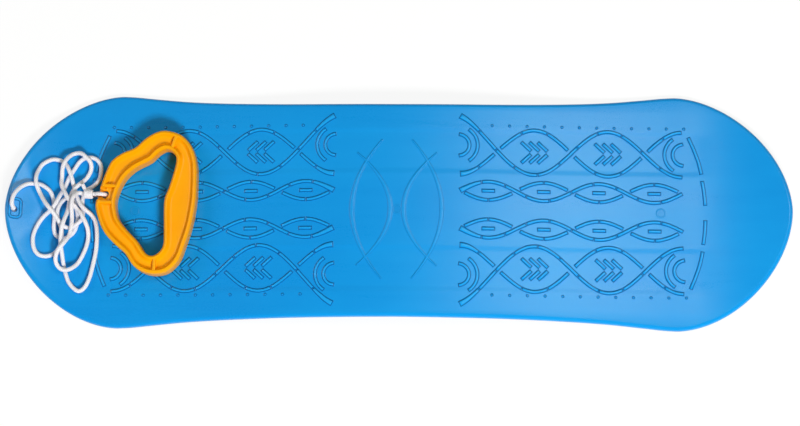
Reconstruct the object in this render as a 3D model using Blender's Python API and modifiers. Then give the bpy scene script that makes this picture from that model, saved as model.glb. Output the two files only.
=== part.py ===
"""A child's moulded plastic snowboard with a tow cord and a hand grip.

The board is one thin shell. Its nose points along -X, its tail along +X and its deck faces +Z.
The origin is on the ground, under the middle of the board. Sizes are in metres.
Places at the ends of the board are measured from its tips, so that they go with its length.
"""

import math

import bmesh
import bpy
import numpy as np
from mathutils import Matrix, Vector

# Overall sizes of the board
BOARD_LENGTH = 0.718
NOSE_WIDTH = 0.2172
WAIST_WIDTH = 0.1972
NOSE_ROUND = 0.105
NOSE_POWER = 1.8

# Side profile: the arch under the rider, the flat where the board rests, the raised ends
ARCH_RISE = 0.0152
TIP_LENGTH = 0.090
TIP_RISE = 0.0145
TIP_POWER = 2.2
REST_LENGTH = 0.014

# Moulding
WALL = 0.003
EDGE_ROUND = 0.0036
RIM_DROP = 0.0014
KEEL_DEPTH = 0.0025
KEEL_INNER = 0.0325
KEEL_OUTER = 0.0765
KEEL_SLOPE = 0.007
KEEL_INSET = 0.069
KEEL_FADE = 0.022
LANE_MARGIN = 0.018

# Raised tread
TREAD_HEIGHT = 0.0010
TREAD_WIDTH = 0.0021
TREAD_ROOT = 0.0010
TREAD_START = 0.058
TREAD_INSET = 0.099
BAR_GAP = 0.0018
WIDE_END = 0.0040
WAVE_MIDDLE = 0.054
WAVE_REACH = 0.021
WAVE_FLARE = 0.006
SMALL_WAVE_MIDDLE = 0.0175
SMALL_WAVE_REACH = 0.0085
CHEVRON_ARM = (0.00805, 0.007475)
CHEVRON_PITCH = 0.0075
CHEVRON_SPLIT = 0.0038
CHEVRON_SHIFT = 0.004
END_ARCS = [(0.010, 0.95), (0.0175, 0.62)]
END_ARC_SHIFT = 0.002
CELL_BAR = 0.011
DOT_RADIUS = 0.0010
DOT_PITCH = 0.016
DOT_COUNT = 12
DOT_START = 0.0867
DOT_ROW = 0.0785
END_BAR_RADIUS = 0.2125
END_BAR_INSET = 0.078
END_BAR_SPANS = [(0.0075, 0.029), (0.0365, 0.0700)]
END_BAR_SWEEP = 0.2

# Cord hole at the nose and the raised frame round it
CORD_HOLE_RADIUS = 0.0031
CORD_HOLE_INSET = 0.0087
CORD_HOLE_Y = -0.0008
FRAME_SHIFT = 0.0011
FRAME_LENGTH = 0.019
FRAME_WIDTH = 0.0115
FRAME_CORNER = 0.0035
FRAME_RIM = 0.0018
FRAME_HEIGHT = 0.0009

# Tow cord
CORD_RADIUS = 0.0018
CORD_STEP = 0.0055
CORD_CLEARANCE = 0.00045
CORD_LIFT = 0.0006
CORD_SLOPE = 0.5
CORD_ROUNDING = 0.0030
CORD_CLIMB = (0.012, 0.003)

# Hand grip
GRIP_HEIGHT = 0.018
GRIP_WALL = 0.0022
GRIP_WEB = 0.0024
GRIP_RIB = 0.0020
GRIP_ORIGIN = (0.0858, 0.0129)
GRIP_TURN = math.radians(-4.0)
GRIP_SEATS = (0.102, 0.1785)
SEAT_GAP = 0.00045
EYE_RADIUS = 0.0036
EYE_CENTRE = 0.0067
EYE_PLATE = 0.0040
EYE_HALF_GAP = 0.0062
LOOP_CENTRE = 0.0020
LOOP_RADIUS = 0.0048

# Knots, wound like a barrel
KNOT_LENGTH = 0.0088
KNOT_TURNS = 3
KNOT_CORE = 0.0024
KNOT_OUTER = 2.3
KNOT_WAIST = 2.0
TAIL_LENGTH = 0.0085

GAP = 0.0003

BLUE = (0.0144, 0.3231, 0.7835)
ORANGE = (1.0, 0.4287, 0.0044)
WHITE = (0.80, 0.80, 0.82)

# The grip's two outlines, seen from above, measured from the bar of its eye
GRIP_OUTLINE = [
    (0.0004, -0.0030), (-0.0006, -0.0122), (0.0044, -0.0261), (0.0110, -0.0368), (0.0212, -0.0462),
    (0.0311, -0.0538), (0.0395, -0.0642), (0.0501, -0.0699), (0.0612, -0.0709), (0.0718, -0.0673),
    (0.0807, -0.0565), (0.0855, -0.0400), (0.0892, -0.0226), (0.0909, -0.0021), (0.0904, 0.0138),
    (0.0882, 0.0342), (0.0821, 0.0497), (0.0719, 0.0593), (0.0582, 0.0626), (0.0487, 0.0605),
    (0.0392, 0.0541), (0.0305, 0.0450), (0.0191, 0.0390), (0.0102, 0.0313), (0.0058, 0.0206),
    (0.0026, 0.0080),
]
GRIP_HOLE = [
    (0.0175, -0.0075), (0.0212, -0.0207), (0.0296, -0.0308), (0.0408, -0.0410), (0.0492, -0.0515),
    (0.0558, -0.0542), (0.0619, -0.0506), (0.0652, -0.0430), (0.0642, -0.0282), (0.0625, -0.0116),
    (0.0623, -0.0004), (0.0656, 0.0119), (0.0690, 0.0294), (0.0686, 0.0394), (0.0604, 0.0453),
    (0.0525, 0.0414), (0.0459, 0.0339), (0.0325, 0.0254), (0.0238, 0.0159), (0.0187, 0.0033),
]

# The cord's route seen from above: out of the hole, round its loops, and up to the grip's knot.
# The first value is the distance from the nose's tip. The third, where there is one, is the least
# height of the cord's middle over the deck.
CORD_ARCH = [
    (0.0084, 0.0008, 0.0040), (0.0082, 0.0035, 0.0072), (0.0090, 0.0085, 0.0086),
    (0.0115, 0.0140, 0.0070), (0.0155, 0.0190, 0.0046), (0.0210, 0.0225, 0.0028),
]
CORD_LOOPS = [
    (0.0300, 0.023), (0.0350, 0.021), (0.0400, 0.017), (0.0430, 0.011), (0.0440, 0.005),
    (0.0450, -0.002), (0.0450, -0.010), (0.0450, -0.018), (0.0470, -0.024), (0.0520, -0.027),
    (0.0570, -0.026), (0.0620, -0.022), (0.0650, -0.016), (0.0660, -0.008), (0.0650, -0.001),
    (0.0630, 0.006), (0.0590, 0.011), (0.0540, 0.010), (0.0500, 0.005), (0.0480, -0.003),
    (0.0490, -0.010), (0.0520, -0.018), (0.0530, -0.025), (0.0520, -0.033), (0.0490, -0.038),
    (0.0450, -0.042), (0.0390, -0.044), (0.0330, -0.043), (0.0290, -0.039), (0.0270, -0.033),
    (0.0270, -0.025), (0.0300, -0.016), (0.0350, -0.008), (0.0420, -0.002), (0.0470, 0.005),
    (0.0510, 0.015), (0.0540, 0.022), (0.0570, 0.030), (0.0620, 0.039), (0.0660, 0.045),
    (0.0710, 0.0485), (0.0770, 0.049), (0.0820, 0.047), (0.0855, 0.042), (0.0860, 0.035),
    (0.0845, 0.028), (0.0800, 0.0225), (0.0740, 0.0185), (0.0705, 0.012), (0.0700, 0.005),
    (0.0710, -0.003), (0.0700, -0.010), (0.0650, -0.015), (0.0600, -0.018), (0.0540, -0.016),
    (0.0490, -0.010), (0.0440, -0.003), (0.0390, 0.003), (0.0330, 0.012), (0.0290, 0.021),
    (0.0280, 0.028), (0.0290, 0.035), (0.0330, 0.042), (0.0410, 0.0465), (0.0480, 0.046),
    (0.0530, 0.043), (0.0570, 0.037), (0.0600, 0.029), (0.0620, 0.021), (0.0650, 0.012),
    (0.0690, 0.004), (0.0740, -0.001), (0.0790, -0.005), (0.0820, -0.010), (0.0840, -0.018),
    (0.0845, -0.027), (0.0840, -0.038), (0.0820, -0.050), (0.0790, -0.063), (0.0750, -0.072),
    (0.0700, -0.0755), (0.0650, -0.073), (0.0600, -0.067), (0.0570, -0.059), (0.0550, -0.051),
    (0.0540, -0.041), (0.0530, -0.032), (0.0535, -0.021), (0.0555, -0.012), (0.0575, -0.004),
    (0.0585, 0.004), (0.0600, 0.012), (0.0635, 0.019), (0.0690, 0.025), (0.0740, 0.031),
    (0.0770, 0.038), (0.0765, 0.044), (0.0720, 0.049), (0.0670, 0.0525), (0.0600, 0.0515),
    (0.0550, 0.046), (0.0520, 0.039), (0.0510, 0.030), (0.0510, 0.023), (0.0540, 0.016),
    (0.0590, 0.008), (0.0650, 0.001), (0.0700, -0.005), (0.0740, -0.012), (0.0765, -0.020),
    (0.0760, -0.030), (0.0730, -0.040), (0.0680, -0.0495), (0.0620, -0.0555), (0.0565, -0.057),
    (0.0515, -0.0545), (0.0490, -0.0485), (0.0510, -0.041), (0.0560, -0.034), (0.0600, -0.027),
    (0.0620, -0.019), (0.0625, -0.011), (0.0623, -0.003), (0.0624, 0.004),
    (0.0635, 0.0095),
]


def clear_scene():
    for leftover in list(bpy.data.objects):
        bpy.data.objects.remove(leftover, do_unlink=True)


def make_collection(name):
    group = bpy.data.collections.new(name)
    bpy.context.scene.collection.children.link(group)
    return group


def make_material(name, colour, roughness):
    material = bpy.data.materials.new(name)
    material.use_nodes = True
    shader = material.node_tree.nodes["Principled BSDF"]
    shader.inputs["Base Color"].default_value = (*colour, 1.0)
    shader.inputs["Roughness"].default_value = roughness
    shader.inputs["Metallic"].default_value = 0.0
    return material


def add_object(name, data, group, material=None):
    made = bpy.data.objects.new(name, data)
    group.objects.link(made)
    if material is not None:
        made.data.materials.append(material)
    return made


def hide_cutter(cutter):
    cutter.hide_render = True
    cutter.display_type = "WIRE"
    return cutter


def bmesh_object(name, mesh, group, material=None):
    bmesh.ops.recalc_face_normals(mesh, faces=mesh.faces[:])
    data = bpy.data.meshes.new(name)
    mesh.to_mesh(data)
    mesh.free()
    return add_object(name, data, group, material)


def curve_to_mesh_object(source, group, material=None):
    """A curve takes no Boolean, so its evaluated mesh takes its place."""
    name = source.name
    source.name = name + "_curve"
    bpy.context.view_layer.update()
    evaluated = source.evaluated_get(bpy.context.evaluated_depsgraph_get())
    data = bpy.data.meshes.new_from_object(evaluated)
    data.name = name
    mesh = bmesh.new()
    mesh.from_mesh(data)
    bmesh.ops.remove_doubles(mesh, verts=mesh.verts[:], dist=0.00001)
    bmesh.ops.recalc_face_normals(mesh, faces=mesh.faces[:])
    mesh.to_mesh(data)
    mesh.free()
    data.materials.clear()
    made = add_object(name, data, group, material)
    made.matrix_world = source.matrix_world
    bpy.data.objects.remove(source, do_unlink=True)
    return made


def prism(name, outlines, low, high, group, material=None):
    """A flat outline, with any holes in it, as a solid between two heights."""
    data = bpy.data.curves.new(name, "CURVE")
    data.dimensions = "2D"
    data.fill_mode = "BOTH"
    data.extrude = (high - low) / 2
    for outline in outlines:
        spline = data.splines.new("POLY")
        spline.points.add(len(outline) - 1)
        for point, (x, y) in zip(spline.points, outline):
            point.co = (x, y, 0.0, 1.0)
        spline.use_cyclic_u = True
    source = add_object(name, data, group)
    source.location = (0.0, 0.0, (low + high) / 2)
    return curve_to_mesh_object(source, group, material)


def combine(target, other, operation):
    step = target.modifiers.new(operation.title() + " " + other.name, "BOOLEAN")
    step.operation = operation
    step.solver = "EXACT"
    step.object = other


def catmull_rom(points, steps, closed):
    """A smooth curve through points, as arrays of steps samples for each span."""
    points = np.array(points, float)
    count = len(points)
    spans = count if closed else count - 1
    samples = []
    for span in range(spans):
        if closed:
            a, b, c, d = (points[(span + k) % count] for k in (-1, 0, 1, 2))
        else:
            a = points[max(span - 1, 0)]
            b = points[span]
            c = points[span + 1]
            d = points[min(span + 2, count - 1)]
        for t in np.arange(steps) / steps:
            samples.append(0.5 * (2 * b + (c - a) * t + (2 * a - 5 * b + 4 * c - d) * t ** 2
                                  + (3 * b - a - 3 * c + d) * t ** 3))
    if not closed:
        samples.append(points[-1])
    return np.array(samples)


def resample(points, step):
    """Points about step apart along a polyline, its two ends kept."""
    lengths = np.linalg.norm(np.diff(points, axis=0), axis=1)
    along = np.concatenate([[0.0], np.cumsum(lengths)])
    count = int(round(along[-1] / step)) + 1
    wanted = np.linspace(0.0, along[-1], count)
    return np.stack([np.interp(wanted, along, points[:, k]) for k in range(points.shape[1])], axis=1)


def smooth_step(value, low, high):
    t = min(max((value - low) / (high - low), 0.0), 1.0)
    return t * t * (3 - 2 * t)


# Shape of the deck

def keel_dip(x, y):
    """Depth of the two guide keels, seen on the deck as shallow channels."""
    across = smooth_step(abs(y), KEEL_INNER, KEEL_INNER + KEEL_SLOPE)
    across *= 1 - smooth_step(abs(y), KEEL_OUTER - KEEL_SLOPE, KEEL_OUTER)
    keel_end = BOARD_LENGTH / 2 - KEEL_INSET
    along = 1 - smooth_step(abs(x), keel_end - KEEL_FADE, keel_end)
    return KEEL_DEPTH * across * along


def deck_height(x, y):
    """Height of the deck over the ground on which the two keels rest."""
    crown = WALL + KEEL_DEPTH
    reach = abs(x)
    flat_end = BOARD_LENGTH / 2 - TIP_LENGTH
    flat_start = flat_end - REST_LENGTH
    if reach < flat_start:
        crown += ARCH_RISE * (1 + math.cos(math.pi * reach / flat_start)) / 2
    if reach > flat_end:
        crown += TIP_RISE * ((reach - flat_end) / TIP_LENGTH) ** TIP_POWER
    return crown - keel_dip(x, y)


def deck_normal(x, y):
    reach = 0.0005
    slope_x = (deck_height(x + reach, y) - deck_height(x - reach, y)) / (2 * reach)
    slope_y = (deck_height(x, y + reach) - deck_height(x, y - reach)) / (2 * reach)
    return Vector((-slope_x, -slope_y, 1.0)).normalized()


# Board

SIDE_STATIONS = 14
NOSE_STATIONS = 12
NOSE_LAST = 0.110
FLARE = [(0.0, 0.0), (0.2, 0.03), (0.4, 0.09), (0.6, 0.24), (0.75, 0.44), (0.87, 0.72),
         (0.95, 0.93), (1.0, 1.0)]


def board_outline():
    """A quarter of the board's edge, from the waist to the tip."""
    widest = BOARD_LENGTH / 2 - NOSE_ROUND
    waist = WAIST_WIDTH / 2
    flare = NOSE_WIDTH / 2 - waist
    side = catmull_rom(FLARE, 8, False)
    points = []
    for share in np.linspace(0.0, 1.0, SIDE_STATIONS):
        x = share * widest
        points.append((x, waist + flare * np.interp(share, side[:, 0], side[:, 1])))
    for share in np.linspace(1.0, 0.0, NOSE_STATIONS + 1)[1:]:
        turn = share ** 1.15 * (math.pi / 2)
        x = widest + NOSE_ROUND * math.cos(turn) ** (2 / NOSE_POWER)
        y = NOSE_WIDTH / 2 * math.sin(turn) ** (2 / NOSE_POWER)
        points.append((x, y))
    return np.array(points)


def inset_quarter(points, distance):
    """The quarter outline moved inwards, square to itself."""
    ahead = np.vstack([points[1:], points[-2] * (1, -1)])
    behind = np.vstack([points[1] * (-1, 1), points[:-1]])
    along = ahead - behind
    along /= np.linalg.norm(along, axis=1)[:, None]
    outward = np.stack([-along[:, 1], along[:, 0]], axis=1)
    return points - outward * distance


def deck_lanes():
    """Lines along the board, as distances from its middle, with the keels' edges among them."""
    inner = [0.0, KEEL_INNER / 2, KEEL_INNER, KEEL_INNER + KEEL_SLOPE / 2, KEEL_INNER + KEEL_SLOPE]
    outer = [KEEL_OUTER - KEEL_SLOPE, KEEL_OUTER - KEEL_SLOPE / 2, KEEL_OUTER]
    return inner + [(inner[-1] + outer[0]) / 2] + outer


def make_board_shell(group, material):
    quarter = inset_quarter(board_outline(), EDGE_ROUND)
    tip = quarter[:SIDE_STATIONS - 1:-1]
    stations = [point for point in quarter if point[1] > NOSE_LAST * NOSE_WIDTH / 2]
    lanes = deck_lanes()
    rows = [-lane for lane in lanes[:0:-1]] + lanes
    sides = [(-x, y) for x, y in stations[:0:-1]] + [(x, y) for x, y in stations]
    mesh = bmesh.new()
    bmesh.ops.create_grid(mesh, x_segments=len(sides) - 1, y_segments=len(rows) + 1, size=1.0)
    for vertex in mesh.verts:
        column = round((vertex.co.x + 1) / 2 * (len(sides) - 1))
        row = round((vertex.co.y + 1) / 2 * (len(rows) + 1)) - 1
        x, half = sides[column]
        squeeze = min(1.0, half / (KEEL_OUTER + LANE_MARGIN))
        if row < 0:
            y = -half
        elif row == len(rows):
            y = half
        else:
            y = rows[row] * squeeze
        if column in (0, len(sides) - 1):
            x = math.copysign(np.interp(abs(y), tip[:, 1], tip[:, 0]), x)
        vertex.co = (x, y, deck_height(x, y))
    turn_down_rim(mesh)
    bmesh.ops.recalc_face_normals(mesh, faces=mesh.faces[:])
    if sum(face.normal.z * face.calc_area() for face in mesh.faces) < 0:
        bmesh.ops.reverse_faces(mesh, faces=mesh.faces[:])
    data = bpy.data.meshes.new("board")
    mesh.to_mesh(data)
    mesh.free()
    shell = add_object("board", data, group, material)
    thickness = shell.modifiers.new("Wall", "SOLIDIFY")
    thickness.thickness = WALL
    thickness.offset = -1.0
    thickness.use_even_offset = True
    return shell


def turn_down_rim(mesh):
    """Round the deck's edge over and end it in a short upright rim."""
    edges = [edge for edge in mesh.edges if edge.is_boundary]
    outward = {}
    base = {}
    for edge in edges:
        for vertex in edge.verts:
            base[vertex] = vertex.co.copy()
    for vertex in base:
        ends = [e.other_vert(vertex).co for e in vertex.link_edges if e.is_boundary]
        along = ends[1] - ends[0]
        side = Vector((-along.y, along.x, 0.0)).normalized()
        if side.dot(Vector((vertex.co.x * 0.2, vertex.co.y, 0.0))) < 0:
            side = -side
        outward[vertex] = side
    steps = [(EDGE_ROUND * math.sin(turn), EDGE_ROUND * (1 - math.cos(turn)))
             for turn in (math.pi / 6, math.pi / 3, math.pi / 2)]
    steps.append((EDGE_ROUND, EDGE_ROUND + RIM_DROP))
    for out, down in steps:
        grown = bmesh.ops.extrude_edge_only(mesh, edges=edges)["geom"]
        fresh = [item for item in grown if isinstance(item, bmesh.types.BMVert)]
        old = {tuple(round(c, 7) for c in vertex.co): vertex for vertex in base}
        next_base = {}
        next_outward = {}
        for vertex in fresh:
            source = old[tuple(round(c, 7) for c in vertex.co)]
            next_base[vertex] = base[source]
            next_outward[vertex] = outward[source]
        for vertex in fresh:
            vertex.co = next_base[vertex] + next_outward[vertex] * out - Vector((0.0, 0.0, down))
        base, outward = next_base, next_outward
        edges = [item for item in grown if isinstance(item, bmesh.types.BMEdge)]


def drape(mesh, vertices):
    """Lift shapes drawn at height zero on to the deck."""
    for vertex in vertices:
        vertex.co.z += deck_height(vertex.co.x, vertex.co.y)


def add_bar(mesh, line, widths):
    """One raised bar of the tread along a line of points, its root inside the deck."""
    line = np.array(line, float)
    along = np.gradient(line, axis=0)
    along /= np.linalg.norm(along, axis=1)[:, None]
    across = np.stack([-along[:, 1], along[:, 0]], axis=1)
    half = np.linspace(widths[0], widths[1], len(line))[:, None] / 2
    sides = (line - across * half, line + across * half)
    top = bmesh.ops.create_grid(mesh, x_segments=len(line) - 1, y_segments=1, size=1.0)["verts"]
    for vertex in top:
        station = round((vertex.co.x + 1) / 2 * (len(line) - 1))
        x, y = sides[vertex.co.y > 0][station]
        vertex.co = (x, y, TREAD_HEIGHT)
    faces = list({face for vertex in top for face in vertex.link_faces})
    grown = bmesh.ops.extrude_face_region(mesh, geom=faces)["geom"]
    root = [item for item in grown if isinstance(item, bmesh.types.BMVert)]
    bmesh.ops.translate(mesh, verts=root, vec=(0.0, 0.0, -TREAD_HEIGHT - TREAD_ROOT))
    drape(mesh, top + root)


def add_dot(mesh, x, y):
    height = TREAD_HEIGHT + TREAD_ROOT
    place = Matrix.Translation((x, y, TREAD_HEIGHT - height / 2))
    made = bmesh.ops.create_cone(mesh, cap_ends=True, segments=6, radius1=DOT_RADIUS,
                                 radius2=DOT_RADIUS * 0.8, depth=height, matrix=place)["verts"]
    drape(mesh, made)


# Where each wave starts and stops, as shares of its length, and its number of bars
WAVE_RUNS = [(0.0, 1.0, 11)]
WAVE_CUT_RUNS = [(0.0, 0.15, 2), (0.183, 0.483, 3), (0.517, 0.817, 3), (0.85, 1.0, 2)]
SMALL_WAVE_RUNS = [(0.0, 1.0, 10)]
SMALL_WAVE_CUT_RUNS = [(0.02, 0.23, 2), (0.27, 0.48, 2), (0.52, 0.73, 2), (0.77, 0.98, 2)]


def cut_into_bars(line, count, pieces):
    """A line of points as bars of one length, with small gaps between them."""
    lengths = np.linalg.norm(np.diff(line, axis=0), axis=1)
    along = np.concatenate([[0.0], np.cumsum(lengths)])
    length = (along[-1] + BAR_GAP) / count - BAR_GAP
    bars = []
    for number in range(count):
        start = number * (length + BAR_GAP)
        wanted = np.linspace(start, start + length, pieces + 1)
        bars.append(np.stack([np.interp(wanted, along, line[:, k]) for k in (0, 1)], axis=1))
    return bars


def wave(share, side):
    """One of the two large waves: they part towards the middle of the board."""
    flare = WAVE_FLARE * max(0.0, 1 - share / 0.25) ** 2
    swing = math.cos(3 * math.pi * share)
    return WAVE_MIDDLE + flare + side * (WAVE_REACH + flare) * swing


def small_wave(share, side):
    return SMALL_WAVE_MIDDLE + side * SMALL_WAVE_REACH * math.sin(4 * math.pi * share)


def wave_lines():
    """The two pairs of crossing waves. At a crossing the first one runs on and the second stops."""
    length = BOARD_LENGTH / 2 - TREAD_INSET - TREAD_START
    lines = []
    for shape, side, runs, pieces in (
            (wave, 1, WAVE_RUNS, 3), (wave, -1, WAVE_CUT_RUNS, 3),
            (small_wave, 1, SMALL_WAVE_RUNS, 2), (small_wave, -1, SMALL_WAVE_CUT_RUNS, 2)):
        for low, high, count in runs:
            shares = np.linspace(low, high, 60)
            line = np.array([(TREAD_START + length * share, shape(share, side)) for share in shares])
            bars = cut_into_bars(line, count, pieces)
            widths = [[TREAD_WIDTH, TREAD_WIDTH] for _ in bars]
            if low == 0:
                widths[0][0] = WIDE_END
            lines += list(zip(bars, widths))
    return lines


def filling_bars():
    """Chevrons in the closed cells of the large waves, and arcs in their open ends."""
    length = BOARD_LENGTH / 2 - TREAD_INSET - TREAD_START
    plain = (TREAD_WIDTH, TREAD_WIDTH)
    bars = []
    for share in (1 / 3, 2 / 3):
        for number in (-1, 0, 1):
            x = TREAD_START + length * share + number * CHEVRON_PITCH + CHEVRON_SHIFT
            for side in (-1, 1):
                start = (x, WAVE_MIDDLE + side * CHEVRON_SPLIT / 2)
                end = (x - CHEVRON_ARM[0], WAVE_MIDDLE + side * (CHEVRON_SPLIT / 2 + CHEVRON_ARM[1]))
                bars.append(([start, end], plain))
    for x, facing in ((TREAD_START, 1), (TREAD_START + length, -1)):
        middle = wave(0.0 if facing > 0 else 1.0, 0)
        for radius, spread in END_ARCS:
            turns = np.linspace(-spread, spread, 5) * (math.pi / 2)
            arc = [(x + facing * (radius * math.cos(turn) - END_ARC_SHIFT), middle + radius * math.sin(turn))
                   for turn in turns]
            bars.append((arc, plain))
    for share in (1 / 8, 3 / 8, 5 / 8, 7 / 8):
        x = TREAD_START + length * share
        bars.append(([(x - CELL_BAR / 2, SMALL_WAVE_MIDDLE), (x + CELL_BAR / 2, SMALL_WAVE_MIDDLE)], plain))
    return bars


def end_bars():
    """Short bars across the board near each end, on one wide arc."""
    bars = []
    reach = BOARD_LENGTH / 2 - END_BAR_INSET
    for low, high in END_BAR_SPANS:
        bar = []
        for y in np.linspace(low, high, 5):
            bend = END_BAR_RADIUS - math.sqrt(END_BAR_RADIUS ** 2 - y ** 2)
            bar.append((reach - bend * (1 + END_BAR_SWEEP * smooth_step(y, low, high)), y))
        bars.append((bar, (TREAD_WIDTH, TREAD_WIDTH)))
    return bars


def make_tread(group):
    """A quarter of the tread's bars and dots, mirrored to the other three."""
    mesh = bmesh.new()
    for side_x in (-1, 1):
        for side_y in (-1, 1):
            for line, widths in wave_lines() + filling_bars() + end_bars():
                add_bar(mesh, [(side_x * x, side_y * y) for x, y in line], widths)
            for number in range(DOT_COUNT):
                add_dot(mesh, side_x * (DOT_START + DOT_PITCH * number), side_y * DOT_ROW)
    return hide_cutter(bmesh_object("tread", mesh, group))


def rounded_rectangle(centre_x, width, length, corner, steps=4):
    points = []
    for quarter in range(4):
        sign_x = (1, -1, -1, 1)[quarter]
        sign_y = (1, 1, -1, -1)[quarter]
        for step in range(steps + 1):
            turn = math.pi / 2 * (quarter + step / steps)
            points.append((centre_x + sign_x * (width / 2 - corner) + corner * math.cos(turn),
                           sign_y * (length / 2 - corner) + corner * math.sin(turn)))
    return points


def make_cord_frame(group):
    """The raised frame round the cord hole."""
    middle = CORD_HOLE_INSET + FRAME_SHIFT - BOARD_LENGTH / 2
    outer = rounded_rectangle(middle, FRAME_WIDTH, FRAME_LENGTH, FRAME_CORNER)
    inner = rounded_rectangle(middle, FRAME_WIDTH - 2 * FRAME_RIM, FRAME_LENGTH - 2 * FRAME_RIM,
                              FRAME_CORNER - FRAME_RIM)
    frame = prism("cord_frame", [outer, inner], -TREAD_ROOT, FRAME_HEIGHT, group)
    for vertex in frame.data.vertices:
        x, y, z = frame.matrix_world @ vertex.co
        vertex.co.z += deck_height(x, y)
    return hide_cutter(frame)


def cord_hole_frame():
    """Where the cord goes through the deck, as a matrix whose Z is square to the deck."""
    x, y = CORD_HOLE_INSET - BOARD_LENGTH / 2, CORD_HOLE_Y
    turn = deck_normal(x, y).to_track_quat("Z", "Y").to_matrix().to_4x4()
    return Matrix.Translation((x, y, deck_height(x, y))) @ turn


def make_hole_cutter(group):
    mesh = bmesh.new()
    bmesh.ops.create_cone(mesh, cap_ends=True, segments=16, radius1=CORD_HOLE_RADIUS,
                          radius2=CORD_HOLE_RADIUS, depth=WALL * 4, matrix=cord_hole_frame())
    return hide_cutter(bmesh_object("cord_hole", mesh, group))


def make_board(parts, cutters, material):
    board = make_board_shell(parts, material)
    combine(board, make_tread(cutters), "UNION")
    combine(board, make_cord_frame(cutters), "UNION")
    combine(board, make_hole_cutter(cutters), "DIFFERENCE")
    return board


# Hand grip

def grip_frame():
    """The grip lies on the tread, so it tips up a little towards the middle of the board."""
    eye_x, near_x, far_x = (place - BOARD_LENGTH / 2 for place in (GRIP_ORIGIN[0], *GRIP_SEATS))
    near = deck_height(near_x, 0.0)
    slope = (deck_height(far_x, 0.0) - near) / (far_x - near_x)
    tip = math.atan(slope)
    height = near + slope * (eye_x - near_x) + TREAD_HEIGHT + SEAT_GAP + GRIP_HEIGHT / 2
    return (Matrix.Translation((eye_x, GRIP_ORIGIN[1], height)) @ Matrix.Rotation(GRIP_TURN, 4, "Z")
            @ Matrix.Rotation(-tip, 4, "Y"))


def offset_loop(points, distance):
    """A closed outline moved sideways: outwards if it runs anticlockwise."""
    along = np.roll(points, -1, axis=0) - np.roll(points, 1, axis=0)
    along /= np.linalg.norm(along, axis=1)[:, None]
    return points + np.stack([along[:, 1], -along[:, 0]], axis=1) * distance


def box_mesh(low, high):
    mesh = bmesh.new()
    middle = [(a + b) / 2 for a, b in zip(low, high)]
    size = [b - a for a, b in zip(low, high)]
    bmesh.ops.create_cube(mesh, size=1.0, matrix=Matrix.Translation(middle)
                          @ Matrix.Diagonal((*size, 1.0)))
    return mesh


def rib_box(name, start, end, group):
    """An upright slab between two points, as thick as a rib."""
    start = Vector(start)
    end = Vector(end)
    mesh = box_mesh((0.0, -GRIP_RIB / 2, -GRIP_HEIGHT), ((end - start).length, GRIP_RIB / 2, GRIP_HEIGHT))
    turn = math.atan2(end.y - start.y, end.x - start.x)
    bmesh.ops.transform(mesh, verts=mesh.verts[:], matrix=Matrix.Translation((*start, 0.0))
                        @ Matrix.Rotation(turn, 4, "Z"))
    return hide_cutter(bmesh_object(name, mesh, group))


def make_hand_grip(parts, cutters, material):
    outer = catmull_rom(GRIP_OUTLINE, 3, True)
    hole = catmull_rom(GRIP_HOLE, 3, True)
    half = GRIP_HEIGHT / 2
    grip = prism("hand_grip", [outer, hole], -half, half, parts, material)
    channel_loops = [offset_loop(outer, -GRIP_WALL), offset_loop(hole, GRIP_WALL)]
    rib_lines = [((0.056, -0.075), (0.056, -0.050)), ((0.0655, 0.040), (0.0690, 0.066)),
                 ((-0.004, -EYE_HALF_GAP - GRIP_RIB / 2), (0.022, -EYE_HALF_GAP - GRIP_RIB / 2)),
                 ((-0.004, EYE_HALF_GAP + GRIP_RIB / 2), (0.024, EYE_HALF_GAP + GRIP_RIB / 2))]
    for side, name in ((1, "upper"), (-1, "lower")):
        low, high = sorted((side * GRIP_WEB / 2, side * (half + 0.002)))
        channel = hide_cutter(prism("channel_" + name, channel_loops, low, high, cutters))
        for number, (start, end) in enumerate(rib_lines):
            rib = rib_box("rib_{}_{}".format(name, number + 1), start, end, cutters)
            combine(channel, rib, "DIFFERENCE")
        eye_block = box_mesh((-0.006, -EYE_HALF_GAP, -EYE_PLATE / 2), (0.030, EYE_HALF_GAP, EYE_PLATE / 2))
        block = hide_cutter(bmesh_object("eye_block_" + name, eye_block, cutters))
        combine(channel, block, "DIFFERENCE")
        combine(grip, channel, "DIFFERENCE")
        low, high = sorted((side * EYE_PLATE / 2, side * (half + 0.002)))
        notch = box_mesh((-0.006, -EYE_HALF_GAP, low), (LOOP_CENTRE + 0.006, EYE_HALF_GAP, high))
        combine(grip, hide_cutter(bmesh_object("eye_notch_" + name, notch, cutters)), "DIFFERENCE")
    eye = bmesh.new()
    bmesh.ops.create_cone(eye, cap_ends=True, segments=20, radius1=EYE_RADIUS, radius2=EYE_RADIUS,
                          depth=GRIP_HEIGHT, matrix=Matrix.Translation((EYE_CENTRE, 0.0, 0.0)))
    combine(grip, hide_cutter(bmesh_object("eye", eye, cutters)), "DIFFERENCE")
    for cutter in cutters.objects:
        if cutter.name.split("_")[0] in ("channel", "rib", "eye"):
            cutter.matrix_world = grip_frame() @ cutter.matrix_world
    grip.matrix_world = grip_frame() @ grip.matrix_world
    return grip


# Tow cord

def tube(name, points, group, material, resolution=1):
    """A cord along points, its ends flat and closed."""
    data = bpy.data.curves.new(name, "CURVE")
    data.dimensions = "3D"
    data.bevel_depth = CORD_RADIUS
    data.bevel_resolution = resolution
    data.use_fill_caps = True
    spline = data.splines.new("POLY")
    spline.points.add(len(points) - 1)
    for point, place in zip(spline.points, points):
        point.co = (*place, 1.0)
    return add_object(name, data, group, material)


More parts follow.
